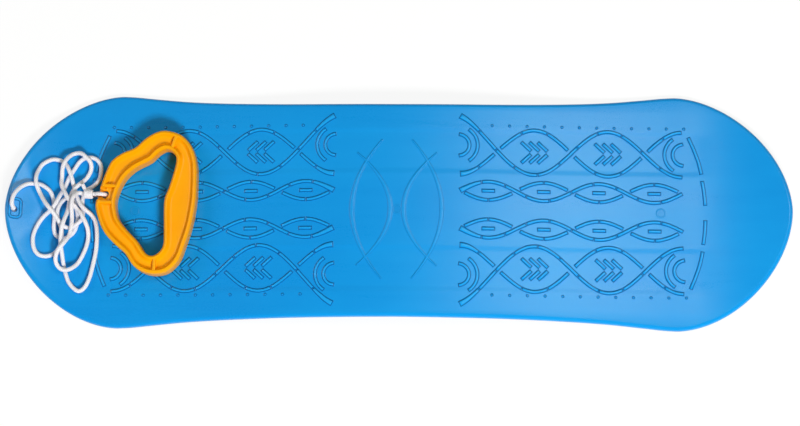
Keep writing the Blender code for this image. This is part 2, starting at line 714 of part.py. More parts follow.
def rest_height(x, y):
    """The cord's middle over the deck: a little higher where it crosses the tread."""
    last_bar = END_BAR_INSET - BOARD_LENGTH / 2
    on_tread = smooth_step(x, last_bar - CORD_CLIMB[0], last_bar - CORD_CLIMB[1])
    return (CORD_RADIUS + CORD_CLEARANCE) / deck_normal(x, y).z + TREAD_HEIGHT * on_tread


def cord_route():
    """The cord's plan, with the least height of its middle over the deck at each point."""
    hole = cord_hole_frame()
    route = []
    top = nose_knot_top()
    start = Vector((top.x, top.y, top.z + GAP))
    route.append((start.x, start.y, start.z - deck_height(start.x, start.y)))
    for reach in (-WALL / 2, 0.0, 0.0015):
        place = hole @ Vector((0.0, 0.0, reach))
        route.append((place.x, place.y, place.z - deck_height(place.x, place.y)))
    tip = -BOARD_LENGTH / 2
    route += [(tip + x, y, height) for x, y, height in CORD_ARCH]
    route += [(tip + x, y, rest_height(tip + x, y)) for x, y in CORD_LOOPS]
    knot_end = LOOP_CENTRE - LOOP_RADIUS - 5 * GAP - CORD_RADIUS - KNOT_LENGTH
    for back in (0.0045, 0.0):
        place = grip_frame() @ Vector((knot_end - back, 0.0, 0.0))
        route.append((place.x, place.y, place.z - deck_height(place.x, place.y)))
    return route


def lay_cord():
    """Lay the cord from its hole to the grip: each pass lies over what is already there.

    A low point of the cord is held up by the passes under it. Its humps are kept long and low
    by a limit on their slope, and then rounded.
    """
    fine = resample(catmull_rom(cord_route(), 8, False), CORD_STEP / 4)
    plan = fine[:, :2]
    least = fine[:, 2]
    count = len(plan)
    step = np.linalg.norm(np.diff(plan, axis=0), axis=1).mean()
    apart = np.linalg.norm(plan[:, None] - plan[None], axis=2)
    order = np.arange(count)
    pitch = 2 * CORD_RADIUS + CORD_CLEARANCE + CORD_LIFT
    under = (order[:, None] - order[None] > 4 * CORD_RADIUS / step * 1.5) & (apart < pitch)
    need = np.sqrt(np.maximum(pitch ** 2 - apart ** 2, 0.0))
    window = int(round(CORD_ROUNDING / step))
    height = least.copy()
    for _ in range(40):
        held = np.where(under, height[None] + need, -1.0).max(axis=1)
        raised = np.maximum(least, held)
        for walk in (range(1, count), range(count - 2, -1, -1)):
            ahead = 1 if walk.step < 0 else -1
            for i in walk:
                raised[i] = max(raised[i], raised[i + ahead] - CORD_SLOPE * step)
        wide = np.array([raised[max(i - window, 0):i + window + 1].max() for i in range(count)])
        rounded = np.array([wide[max(i - window, 0):i + window + 1].mean() for i in range(count)])
        ends = np.minimum(order, order[::-1]) / (3.0 * window)
        share = np.clip(ends - 0.4, 0.0, 1.0)
        height = raised * (1 - share) + rounded * share
    deck = np.array([deck_height(x, y) for x, y in plan])
    return np.column_stack([plan, deck + height])[::4] if (count - 1) % 4 == 0 else \
        resample(np.column_stack([plan, deck + height]), CORD_STEP)


def least_gap(points):
    """The least distance between two passes of the cord, from surface to surface."""
    starts = points[:-1]
    ends = points[1:]
    best = 1.0
    shares = np.linspace(0.0, 1.0, 5)
    dense = np.concatenate([starts + (ends - starts) * share for share in shares])
    owner = np.tile(np.arange(len(starts)), len(shares))
    for number in range(len(starts)):
        others = dense[np.abs(owner - number) > 4]
        if not len(others):
            continue
        along = ends[number] - starts[number]
        share = np.clip((others - starts[number]) @ along / (along @ along), 0.0, 1.0)
        nearest = starts[number] + share[:, None] * along
        best = min(best, np.linalg.norm(others - nearest, axis=1).min())
    return best - 2 * CORD_RADIUS


def make_tow_cord(parts, material):
    points = lay_cord()
    length = np.linalg.norm(np.diff(points, axis=0), axis=1).sum()
    print("tow cord: {} points, length {:.3f} m".format(len(points), length))
    print("tow cord: least gap to itself {:.2f} mm".format(least_gap(points) * 1000))
    return tube("tow_cord", points, parts, material)


def nose_knot_top():
    """The upper end of the stopper knot, which hangs upright under the sloping deck."""
    hole = cord_hole_frame()
    under = hole @ Vector((0.0, 0.0, -WALL))
    up = deck_normal(hole.translation.x, hole.translation.y)
    return under - Vector((0.0, 0.0, CORD_RADIUS * KNOT_WAIST * up.x / up.z + GAP))


def knot_mesh(length):
    """A barrel of turns round a core, along X from zero."""
    mesh = bmesh.new()
    outer = CORD_RADIUS * KNOT_OUTER
    waist = CORD_RADIUS * KNOT_WAIST
    pitch = length / KNOT_TURNS
    profile = [(0.0, KNOT_CORE)]
    for number in range(KNOT_TURNS):
        start = number * pitch
        profile += [(start + pitch * 0.12, waist), (start + pitch * 0.32, outer),
                    (start + pitch * 0.68, outer), (start + pitch * 0.88, waist)]
    profile.append((length, KNOT_CORE))
    line = [mesh.verts.new((x, 0.0, radius)) for x, radius in profile]
    edges = [mesh.edges.new(pair) for pair in zip(line, line[1:])]
    bmesh.ops.spin(mesh, geom=line + edges, cent=(0, 0, 0), axis=(1, 0, 0), angle=2 * math.pi,
                   steps=12, use_merge=True, use_duplicate=False)
    bmesh.ops.remove_doubles(mesh, verts=mesh.verts[:], dist=0.00001)
    rims = [edge for edge in mesh.edges if edge.is_boundary]
    bmesh.ops.holes_fill(mesh, edges=rims)
    return mesh


def make_knots(parts, cutters, material):
    nose = bmesh_object("nose_knot", knot_mesh(KNOT_LENGTH), parts, material)
    nose.matrix_world = Matrix.Translation(nose_knot_top()) @ Matrix.Rotation(math.pi / 2, 4, "Y")
    face = LOOP_CENTRE - LOOP_RADIUS - GAP - CORD_RADIUS
    grip_knot = bmesh_object("grip_knot", knot_mesh(KNOT_LENGTH), parts, material)
    grip_knot.matrix_world = grip_frame() @ Matrix.Translation((face - KNOT_LENGTH, 0.0, 0.0))
    start = Vector((face - KNOT_LENGTH * 0.75, 0.0015, 0.0))
    tail_end = start + Vector((-0.0045, 0.0075, 0.0022)).normalized() * TAIL_LENGTH
    tail = tube("cut_tail", [start, (start + tail_end) / 2, tail_end], cutters, None, 2)
    tail.matrix_world = grip_frame()
    combine(grip_knot, hide_cutter(curve_to_mesh_object(tail, cutters)), "UNION")
    return nose, grip_knot


def make_grip_loop(parts, material):
    """The loop through the eye: an arc round the eye's bar, its two ends run into the knot."""
    opening = math.asin((CORD_RADIUS + GAP) / LOOP_RADIUS)
    centre = Vector((LOOP_CENTRE, 0.0, 0.0))
    face = LOOP_CENTRE - LOOP_RADIUS - CORD_RADIUS
    points = [Vector((face, 0.0, LOOP_RADIUS * math.sin(opening)))]
    for turn in np.linspace(math.pi - opening, -math.pi + opening, 16):
        points.append(centre + Vector((math.cos(turn), 0.0, math.sin(turn))) * LOOP_RADIUS)
    points.append(Vector((face, 0.0, -LOOP_RADIUS * math.sin(opening))))
    loop = tube("grip_loop", points, parts, material, 2)
    loop.matrix_world = grip_frame()
    return loop


def main():
    clear_scene()
    parts = make_collection("plastic_snowboard")
    cutters = make_collection("cutters")
    blue = make_material("blue_plastic", BLUE, 0.32)
    orange = make_material("orange_plastic", ORANGE, 0.35)
    white = make_material("white_cord", WHITE, 0.85)
    make_board(parts, cutters, blue)
    make_hand_grip(parts, cutters, orange)
    make_tow_cord(parts, white)
    make_knots(parts, cutters, white)
    make_grip_loop(parts, white)


main()
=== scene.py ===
import math

import bmesh
import bpy
import numpy as np
from mathutils import Matrix, Vector


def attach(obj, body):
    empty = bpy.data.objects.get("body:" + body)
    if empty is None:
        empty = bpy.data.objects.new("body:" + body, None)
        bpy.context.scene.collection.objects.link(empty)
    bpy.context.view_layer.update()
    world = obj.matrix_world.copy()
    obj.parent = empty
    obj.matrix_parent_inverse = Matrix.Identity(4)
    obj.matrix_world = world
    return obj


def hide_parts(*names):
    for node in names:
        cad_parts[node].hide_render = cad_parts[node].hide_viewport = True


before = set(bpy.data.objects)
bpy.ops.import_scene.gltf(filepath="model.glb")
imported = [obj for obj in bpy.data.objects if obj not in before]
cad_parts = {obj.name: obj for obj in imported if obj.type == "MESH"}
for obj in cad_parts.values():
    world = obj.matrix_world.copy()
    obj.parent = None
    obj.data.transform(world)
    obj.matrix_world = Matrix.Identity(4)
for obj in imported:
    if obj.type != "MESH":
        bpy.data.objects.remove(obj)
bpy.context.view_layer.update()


# The board is one thin moulding of blue polyethylene. Its nose and tail turn up, two guide keels
# run along it as shallow channels in the deck, and its edge is rounded over into a short rim.

BOARD_LENGTH = 0.718
NOSE_WIDTH = 0.2172
WAIST_WIDTH = 0.1972
NOSE_ROUND = 0.105
NOSE_POWER = 1.8
ARCH_RISE = 0.0152
REST_START = 0.255
REST_END = 0.269
TIP_RISE = 0.0145
TIP_POWER = 2.2
WALL = 0.003
EDGE_ROUND = 0.0036
RIM_DROP = 0.0014
KEEL_DEPTH = 0.0025
CHANNEL_DEPTH = 0.0004
KEEL_INNER = 0.0325
KEEL_OUTER = 0.0765
KEEL_SLOPE = 0.0065
KEEL_END = 0.290
KEEL_FADE = 0.022
SIDE_STATIONS = 84
NOSE_STATIONS = 44
TIP_SHARE = 0.05
LANE_STEP = 0.0036
LAST_LANE = 0.0915
RIM_STEPS = 7
CREASE_DEPTH = 0.0010
CREASE_WIDTH = 0.0100
CREASE = [(-0.3420, 0.062), (-0.3405, 0.0468), (-0.3375, 0.0315), (-0.3269, 0.0192),
          (-0.3199, 0.0035), (-0.3269, -0.0129), (-0.3400, -0.0250), (-0.3460, -0.0360)]
FLARE = [(0.0, 0.0), (0.2, 0.03), (0.4, 0.09), (0.6, 0.24), (0.75, 0.44), (0.87, 0.72),
         (0.95, 0.93), (1.0, 1.0)]


def catmull_rom(points, steps, closed):
    """A smooth curve through points, as an array with steps samples for each span."""
    points = np.array(points, float)
    count = len(points)
    samples = []
    for span in range(count if closed else count - 1):
        if closed:
            a, b, c, d = (points[(span + k) % count] for k in (-1, 0, 1, 2))
        else:
            a, b, c, d = (points[min(max(span + k, 0), count - 1)] for k in (-1, 0, 1, 2))
        for t in np.arange(steps) / steps:
            samples.append(0.5 * (2 * b + (c - a) * t + (2 * a - 5 * b + 4 * c - d) * t ** 2
                                  + (3 * b - a - 3 * c + d) * t ** 3))
    if not closed:
        samples.append(points[-1])
    return np.array(samples)


def smooth_step(value, low, high):
    """A ramp from 0 at low to 1 at high, level at both ends."""
    t = min(max((value - low) / (high - low), 0.0), 1.0)
    return t * t * (3 - 2 * t)


def keel_share(x, y):
    """How much of a keel there is at a point, from 0 to 1."""
    across = smooth_step(abs(y), KEEL_INNER, KEEL_INNER + KEEL_SLOPE)
    across *= 1 - smooth_step(abs(y), KEEL_OUTER - KEEL_SLOPE, KEEL_OUTER)
    return across * (1 - smooth_step(abs(x), KEEL_END - KEEL_FADE, KEEL_END))


def deck_height(x, y):
    """Height of the deck's skin over the ground."""
    reach = abs(x)
    height = WALL + KEEL_DEPTH
    if reach < REST_START:
        height += ARCH_RISE * (1 + math.cos(math.pi * reach / REST_START)) / 2
    if reach > REST_END:
        height += TIP_RISE * ((reach - REST_END) / (BOARD_LENGTH / 2 - REST_END)) ** TIP_POWER
    return height - CHANNEL_DEPTH * keel_share(x, y)


crease_line = catmull_rom(CREASE, 16, False)


def nose_crease(x, y):
    """The soft step round the tongue of the nose, deepest at its middle."""
    if x > -0.30:
        return 0.0
    away = np.linalg.norm(crease_line - (x, y), axis=1)
    nearest = int(away.argmin())
    fade = math.sin(math.pi * nearest / (len(crease_line) - 1))
    return CREASE_DEPTH * fade * math.exp(-(away[nearest] / CREASE_WIDTH) ** 2 * 2.0)


def board_edge():
    """A quarter of the board's edge from the waist to the tip, set in by the rounding."""
    widest = BOARD_LENGTH / 2 - NOSE_ROUND
    flare = catmull_rom(FLARE, 8, False)
    points = []
    for share in np.linspace(0.0, 1.0, SIDE_STATIONS):
        bow = np.interp(share, flare[:, 0], flare[:, 1])
        points.append((share * widest, (WAIST_WIDTH + (NOSE_WIDTH - WAIST_WIDTH) * bow) / 2))
    for share in np.linspace(1.0, 0.0, NOSE_STATIONS + 1)[1:]:
        turn = share ** 1.15 * (math.pi / 2)
        points.append((widest + NOSE_ROUND * math.cos(turn) ** (2 / NOSE_POWER),
                       NOSE_WIDTH / 2 * math.sin(turn) ** (2 / NOSE_POWER)))
    points = np.array(points)
    ahead = np.vstack([points[1:], points[-2] * (1, -1)])
    behind = np.vstack([points[1] * (-1, 1), points[:-1]])
    along = ahead - behind
    along /= np.linalg.norm(along, axis=1)[:, None]
    return points - np.stack([-along[:, 1], along[:, 0]], axis=1) * EDGE_ROUND


def turn_down_rim(mesh):
    """Round the deck's edge over and end it in a short upright rim."""
    edges = [edge for edge in mesh.edges if edge.is_boundary]
    start = {vertex: vertex.co.copy() for edge in edges for vertex in edge.verts}
    outward = {}
    for vertex in start:
        ends = [edge.other_vert(vertex).co for edge in vertex.link_edges if edge.is_boundary]
        along = ends[1] - ends[0]
        side = Vector((-along.y, along.x, 0.0)).normalized()
        away = Vector((vertex.co.x * 0.2, vertex.co.y, 0.0))
        outward[vertex] = side if side.dot(away) > 0 else -side
    turns = [math.pi / 2 * step / RIM_STEPS for step in range(1, RIM_STEPS + 1)]
    steps = [(EDGE_ROUND * math.sin(turn), EDGE_ROUND * (1 - math.cos(turn))) for turn in turns]
    steps.append((EDGE_ROUND, EDGE_ROUND + RIM_DROP))
    for out, down in steps:
        grown = bmesh.ops.extrude_edge_only(mesh, edges=edges)["geom"]
        fresh = [item for item in grown if isinstance(item, bmesh.types.BMVert)]
        old = {tuple(round(c, 8) for c in vertex.co): vertex for vertex in start}
        came_from = {vertex: old[tuple(round(c, 8) for c in vertex.co)] for vertex in fresh}
        start, outward = ({vertex: start[source] for vertex, source in came_from.items()},
                          {vertex: outward[source] for vertex, source in came_from.items()})
        for vertex in fresh:
            vertex.co = start[vertex] + outward[vertex] * out - Vector((0.0, 0.0, down))
        edges = [item for item in grown if isinstance(item, bmesh.types.BMEdge)]


def add_piece(name, mesh, smooth_angle=40.0):
    """A finished bmesh as an object, smooth but for edges sharper than the angle."""
    data = bpy.data.meshes.new(name)
    mesh.to_mesh(data)
    mesh.free()
    data.polygons.foreach_set("use_smooth", [True] * len(data.polygons))
    data.set_sharp_from_angle(angle=math.radians(smooth_angle))
    made = bpy.data.objects.new(name, data)
    bpy.context.scene.collection.objects.link(made)
    return made


def make_board():
    """The deck as a grid whose rows follow the keels' slopes, with its rim and its wall."""
    quarter = board_edge()
    tip = quarter[:SIDE_STATIONS - 1:-1]
    stations = [point for point in quarter if point[1] > TIP_SHARE * NOSE_WIDTH / 2]
    bands = (KEEL_INNER, KEEL_INNER + KEEL_SLOPE, KEEL_OUTER - KEEL_SLOPE, KEEL_OUTER)
    lanes = [*np.arange(0.0, KEEL_INNER, LANE_STEP), *np.linspace(KEEL_OUTER, LAST_LANE, 5)]
    for low, high in zip(bands, bands[1:]):
        lanes.extend(np.linspace(low, high, 9))
    lanes = sorted({round(lane, 5) for lane in lanes})
    rows = [-lane for lane in lanes[:0:-1]] + lanes
    sides = [(-x, y) for x, y in stations[:0:-1]] + list(stations)
    mesh = bmesh.new()
    bmesh.ops.create_grid(mesh, x_segments=len(sides) - 1, y_segments=len(rows) + 1, size=1.0)
    full = NOSE_WIDTH / 2 - EDGE_ROUND
    for vertex in mesh.verts:
        column = round((vertex.co.x + 1) / 2 * (len(sides) - 1))
        row = round((vertex.co.y + 1) / 2 * (len(rows) + 1)) - 1
        x, half = sides[column]
        if row in (-1, len(rows)):
            y = math.copysign(half, row)
        else:
            y = rows[row] * min(1.0, half / (full * 0.9))
        if column in (0, len(sides) - 1):
            x = math.copysign(np.interp(abs(y), tip[:, 1], tip[:, 0]), x)
        vertex.co = (x, y, deck_height(x, y) - nose_crease(x, y))
    turn_down_rim(mesh)
    bmesh.ops.recalc_face_normals(mesh, faces=mesh.faces[:])
    if sum(face.normal.z * face.calc_area() for face in mesh.faces) < 0:
        bmesh.ops.reverse_faces(mesh, faces=mesh.faces[:])
    made = add_piece("board_moulding", mesh)
    wall = made.modifiers.new("Wall", "SOLIDIFY")
    wall.thickness = WALL
    wall.offset = -1.0
    wall.use_even_offset = True
    return made


class Wire:
    """A socket in a material's nodes. Sums on wires add Math nodes."""

    def __init__(self, tree, socket=None):
        self.tree = tree
        self.socket = socket

    def make(self, kind, settings=None, sockets=None, output=0):
        """Any node: its settings are set first, then its sockets get values or wires."""
        node = self.tree.nodes.new(kind)
        for name, value in (settings or {}).items():
            if name == "stops":
                for number, (place, colour) in enumerate(value):
                    ramp = node.color_ramp.elements
                    stop = ramp[number] if number < 2 else ramp.new(place)
                    stop.position, stop.color = place, colour
            else:
                setattr(node, name, value)
        for name, value in (sockets or {}).items():
            if isinstance(value, Wire):
                self.tree.links.new(value.socket, node.inputs[name])
            else:
                node.inputs[name].default_value = value
        return Wire(self.tree, node.outputs[output])

    def maths(self, operation, first, second=0.0):
        return self.make("ShaderNodeMath", {"operation": operation}, {0: first, 1: second})

    def noise(self, place, scale, detail, roughness):
        return self.make("ShaderNodeTexNoise", sockets={
            "Vector": place, "Scale": scale, "Detail": detail, "Roughness": roughness})

    def mix(self, factor, first, second):
        """Between two colours, which a mix node has on sockets 6 and 7, with its result on 2."""
        sockets = {"Factor": factor, 6: first, 7: second}
        return self.make("ShaderNodeMix", {"data_type": "RGBA"}, sockets, 2)

    def __add__(self, other):
        return self.maths("ADD", self, other)

    def __sub__(self, other):
        return self.maths("SUBTRACT", self, other)

    def __mul__(self, other):
        return self.maths("MULTIPLY", self, other)

    __radd__ = __add__
    __rmul__ = __mul__


def new_material(name):
    """A material, the wire that starts its nodes, and its Principled shader."""
    material = bpy.data.materials.new(name)
    material.use_nodes = True
    return material, Wire(material.node_tree), material.node_tree.nodes["Principled BSDF"]


def wire_shader(shader, colour, rough, relief):
    """Colour, roughness and relief into a Principled shader."""
    for socket, wire in (("Base Color", colour), ("Roughness", rough), ("Normal", relief)):
        wire.tree.links.new(wire.socket, shader.inputs[socket])


def moulded_plastic(name, light, dark, shaded, painted_highlight, roughness, grain, specular=0.5):
    """Satin moulded plastic: faint flow bands, a fine skin, small scuffs from handling, and painted
    shade and painted highlights on its relief.
    """
    material, wires, shader = new_material(name)
    place = wires.make("ShaderNodeTexCoord", output="Object")
    stretched = wires.make("ShaderNodeMapping", sockets={
        "Vector": place, "Scale": (3.0, 26.0, 26.0)})
    flow = wires.noise(stretched, 1.0, 4.0, 0.6)
    cloud = wires.noise(place, 9.0, 3.0, 0.55)
    skin = wires.noise(place, 1500.0, 2.0, 0.6)
    orange_peel = wires.noise(place, 160.0, 2.0, 0.5)
    scuffed = wires.make("ShaderNodeMapping", sockets={
        "Vector": place, "Rotation": (0.0, 0.0, 0.5), "Scale": (60.0, 900.0, 300.0)})
    scuffs = wires.make("ShaderNodeMapRange", sockets={
        "Value": wires.noise(scuffed, 1.0, 5.0, 0.7), "From Min": 0.62, "From Max": 0.78})
    tint = wires.make("ShaderNodeMapRange", sockets={
        "Value": flow * 0.55 + cloud * 0.45, "From Min": 0.35, "From Max": 0.65})
    painted_shading = wires.make("ShaderNodeAttribute", {"attribute_name": "painted_shading"}, output=2)
    colour = wires.mix(tint, dark, light)
    # Painted shade where the relief's attribute is positive, at its feet, and a painted highlight
    # where it is negative, on its tops.
    colour = wires.mix(painted_shading * 0.9, colour, shaded)
    colour = wires.mix(painted_shading * -0.6, colour, painted_highlight)
    gloss = roughness + (flow - 0.5) * 0.12 + (skin - 0.5) * 0.06 + scuffs * 0.10
    relief = wires.make("ShaderNodeBump", sockets={
        "Height": skin * grain + orange_peel * 0.6 - scuffs * 0.2,
        "Distance": 0.00006, "Strength": 0.55})
    wire_shader(shader, colour, wires.maths("MAXIMUM", gloss, 0.12), relief)
    shader.inputs["IOR"].default_value = 1.5
    shader.inputs["Specular IOR Level"].default_value = specular
    return material


# The third colour is the painted shade at the feet of the relief, the fourth the painted highlight
# on its tops.
blue_plastic = moulded_plastic(
    "blue_plastic", (0.002, 0.325, 0.80, 1.0), (0.001, 0.285, 0.75, 1.0),
    (0.001, 0.070, 0.26, 1.0), (0.012, 0.41, 0.90, 1.0), 0.29, 0.35)
board = make_board()
board.data.materials.append(blue_plastic)
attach(board, "board")
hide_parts("board")


# The tread is moulded in one with the deck, about a millimetre proud. It has dashed waves that
# cross, chevrons and arcs between them, rows of dots, bars across each end and a ring at each
# ejector mark. Its two halves are two meshes.

TREAD_HEIGHT = 0.0010
TREAD_CROWN = 0.00125
TREAD_WIDTH = 0.0021
TREAD_START = 0.058
TREAD_END = 0.260
BAR_GAP = 0.0018
WIDE_END = 0.0040
WAVE_MIDDLE = 0.054
WAVE_REACH = 0.021
WAVE_FLARE = 0.006
WAVE_BAR = 0.0215
SMALL_WAVE_MIDDLE = 0.0175
SMALL_WAVE_REACH = 0.0085
SMALL_WAVE_BAR = 0.0190
CHEVRON_ARM = 0.0115
CHEVRON_PITCH = 0.0075
CHEVRON_SPLIT = 0.0019
CHEVRON_SHIFT = 0.004
DASH_REACH = 0.0055
END_ARCS = [(0.010, 0.95), (0.0175, 0.62)]
END_ARC_SHIFT = 0.002
WHOLE_WAVE = [(0.0, 1.0)]
WAVE_STOPS = [(0.0, 0.15), (0.183, 0.483), (0.517, 0.817), (0.85, 1.0)]
SMALL_WAVE_STOPS = [(0.02, 0.23), (0.27, 0.48), (0.52, 0.73), (0.77, 0.98)]
DOT_RADIUS = 0.0012
DOT_PITCH = 0.016
DOT_COUNT = 12
DOT_START = 0.0867
DOT_ROW = 0.0785
END_BAR_RADIUS = 0.2125
END_BAR_REACH = 0.281
END_BARS = [(0.0075, 0.029), (0.0365, 0.0700)]
MARK_REACH = 0.2407
MARK_Y = -0.0006
BAR_SPACING = 0.0020
BAR_TURN_REACH = 0.0004
# The third value in each row of a bar's section is painted shading: positive is painted shade at
# the foot, negative a painted highlight on the top.
BAR_SECTION = [(-2.10, -0.10, 0.0), (-2.00, 0.010, 0.0), (-1.70, 0.02, 0.55),
               (-1.40, 0.03, 1.0), (-1.20, 0.30, 0.9), (-1.0, 0.66, 0.4),
               (-0.80, 0.88, -0.5), (-0.45, 0.98, -1.0)]
BAR_SECTION += [(0.0, 1.0, -1.0)] + [(-side, rise, dark) for side, rise, dark in BAR_SECTION[::-1]]
BAR_END = [(-1.00, -0.10, 0.0), (-0.90, 0.010, 0.0), (-0.65, 0.02, 0.55), (-0.35, 0.03, 1.0),
           (-0.15, 0.30, 0.9), (0.0, 0.66, 0.4), (0.18, 0.88, -0.5), (0.5, 1.0, -1.0)]
BAR_ROOT = 0.0009


def lengths_along(line):
    """How far each point of a line lies from its start."""
    return np.concatenate([[0.0], np.cumsum(np.linalg.norm(np.diff(line, axis=0), axis=1))])


def places_along(line, along, wanted):
    """The points of a line at the wanted lengths."""
    return np.stack([np.interp(wanted, along, line[:, k]) for k in range(line.shape[1])], axis=-1)


def pour_into(mesh, small):
    """Add a small bmesh to a large one. Each is built alone, because that is much quicker."""
    data = bpy.data.meshes.new("small")
    small.to_mesh(data)
    small.free()
    mesh.from_mesh(data)
    bpy.data.meshes.remove(data)


def moulded_bar(mesh, line, widths, height=TREAD_CROWN, contrast=1.0):
    """A raised bar with rounded top and ends, with painted shade at its foot and ends and a painted
    highlight on its top.
    """
    line = np.array(line, float)
    along = lengths_along(line)
    total = along[-1]
    stations = [(place / 1000, share, dark) for place, share, dark in BAR_END]
    count = max(3, round(total / BAR_SPACING))
    inner = np.linspace(stations[-1][0], total - stations[-1][0], count)
    stations += [(place, 1.0, -1.0) for place in inner[1:-1]]
    stations += [(total - place / 1000, share, dark) for place, share, dark in BAR_END[::-1]]
    middles, forwards, halves = [], [], []
    for place, share, dark in stations:
        near = min(max(place, 0.0), total)
        before, after = (places_along(line, along, near + step)
                         for step in (-BAR_TURN_REACH, BAR_TURN_REACH))
        forward = (after - before) / np.linalg.norm(after - before)
        middles.append(places_along(line, along, near) + forward * (place - near))
        forwards.append(forward)
        halves.append(np.interp(near, (0.0, total), widths) / 2)
    small = bmesh.new()
    painted_shading = small.verts.layers.float.new("painted_shading")
    columns, rows = len(stations) - 1, len(BAR_SECTION) - 1
    bmesh.ops.create_grid(small, x_segments=columns, y_segments=rows, size=1.0)
    for vertex in small.verts:
        station = round((vertex.co.x + 1) / 2 * columns)
        place, share, end_dark = stations[station]
        offset, rise, dark = BAR_SECTION[round((vertex.co.y + 1) / 2 * rows)]
        reach = halves[station] * min(abs(offset), 1.0) + max(abs(offset) - 1, 0) * 0.001
        across = np.array((-forwards[station][1], forwards[station][0]))
        x, y = middles[station] + across * math.copysign(reach, offset)
        vertex.co = (x, y, deck_height(x, y) + height * min(rise, share))
        # Painted shade at the bar's foot and ends, and a painted highlight along its top.
        vertex[painted_shading] = max(dark, end_dark) * contrast if min(rise, share) > 0.015 else 0.0
    foot = [edge for edge in small.edges if edge.is_boundary]
    grown = bmesh.ops.extrude_edge_only(small, edges=foot)["geom"]
    root = [item for item in grown if isinstance(item, bmesh.types.BMVert)]
    bmesh.ops.translate(small, verts=root, vec=(0.0, 0.0, -BAR_ROOT))
    bmesh.ops.edgeloop_fill(small, edges=[edge for edge in small.edges if edge.is_boundary])
    bmesh.ops.recalc_face_normals(small, faces=small.faces[:])
    pour_into(mesh, small)


def turned_mark(mesh, x, y, profile, steps):
    """A round mark on the deck, spun from a profile of radius, height and darkness."""
    small = bmesh.new()
    painted_shading = small.verts.layers.float.new("painted_shading")
    line = [small.verts.new((x + radius, y, rise)) for radius, rise, dark in profile]
    for vertex, (radius, rise, dark) in zip(line, profile):
        vertex[painted_shading] = dark
    edges = [small.edges.new(pair) for pair in zip(line, line[1:])]
    bmesh.ops.spin(small, geom=line + edges, cent=(x, y, 0.0), axis=(0, 0, 1), angle=2 * math.pi,
                   steps=steps, use_merge=True, use_duplicate=False)
    bmesh.ops.remove_doubles(small, verts=small.verts[:], dist=0.00001)
    for vertex in small.verts:
        vertex.co.z += deck_height(vertex.co.x, vertex.co.y)
    bmesh.ops.recalc_face_normals(small, faces=small.faces[:])
    pour_into(mesh, small)


def cut_into_bars(line, bar, samples=9):
    """A line of points as bars of about one length, with small gaps between them."""
    along = lengths_along(line)
    count = max(1, round((along[-1] + BAR_GAP) / (bar + BAR_GAP)))
    length = (along[-1] + BAR_GAP) / count - BAR_GAP
    bars = []
    for number in range(count):
        start = number * (length + BAR_GAP)
        bars.append(places_along(line, along, np.linspace(start, start + length, samples)))
    return bars


def wave(share, side):
    """One of the two large waves: they part towards the middle of the board."""
    flare = WAVE_FLARE * max(0.0, 1 - share / 0.25) ** 2
    return WAVE_MIDDLE + flare + side * (WAVE_REACH + flare) * math.cos(3 * math.pi * share)


def small_wave(share, side):
    """One of the two small waves between the keels."""
    return SMALL_WAVE_MIDDLE + side * SMALL_WAVE_REACH * math.sin(4 * math.pi * share)


def quarter_tread():
    """The bars of one quarter of the deck, each a line of points and its two end widths."""
    length = TREAD_END - TREAD_START
    plain = (TREAD_WIDTH, TREAD_WIDTH)
    bars = []
    waves = ((wave, 1, WHOLE_WAVE, WAVE_BAR), (wave, -1, WAVE_STOPS, WAVE_BAR),
             (small_wave, 1, WHOLE_WAVE, SMALL_WAVE_BAR),
             (small_wave, -1, SMALL_WAVE_STOPS, SMALL_WAVE_BAR))
    for shape, side, stops, bar in waves:
        for low, high in stops:
            line = np.array([(TREAD_START + length * share, shape(share, side))
                             for share in np.linspace(low, high, 60)])
            for number, part in enumerate(cut_into_bars(line, bar)):
                wide = low == 0 and number == 0
                bars.append((part, (WIDE_END if wide else TREAD_WIDTH, TREAD_WIDTH)))
    for share in (1 / 3, 2 / 3):
        for number in (-1, 0, 1):
            x = TREAD_START + length * share + number * CHEVRON_PITCH + CHEVRON_SHIFT
            back = x - CHEVRON_ARM * 0.7
            for side in (-1, 1):
                spread = side * (CHEVRON_SPLIT + CHEVRON_ARM * 0.65)
                bars.append(([(x, WAVE_MIDDLE + side * CHEVRON_SPLIT),
                              (back, WAVE_MIDDLE + spread)], plain))
    for x, facing, share in ((TREAD_START, 1, 0.0), (TREAD_END, -1, 1.0)):
        middle = wave(share, 0)
        for radius, spread in END_ARCS:
            turns = np.linspace(-spread, spread, 17) * (math.pi / 2)
            bars.append(([(x + facing * (radius * math.cos(turn) - END_ARC_SHIFT),
                           middle + radius * math.sin(turn)) for turn in turns], plain))
    for share in (1 / 8, 3 / 8, 5 / 8, 7 / 8):
        x = TREAD_START + length * share
        bars.append(([(x - DASH_REACH, SMALL_WAVE_MIDDLE),
                      (x + DASH_REACH, SMALL_WAVE_MIDDLE)], plain))
    for low, high in END_BARS:
        bar = []
        for y in np.linspace(low, high, 9):
            bend = END_BAR_RADIUS - math.sqrt(END_BAR_RADIUS ** 2 - y ** 2)
            bar.append((END_BAR_REACH - bend * (1 + 0.2 * smooth_step(y, low, high)), y))
        bars.append((bar, plain))
    return bars
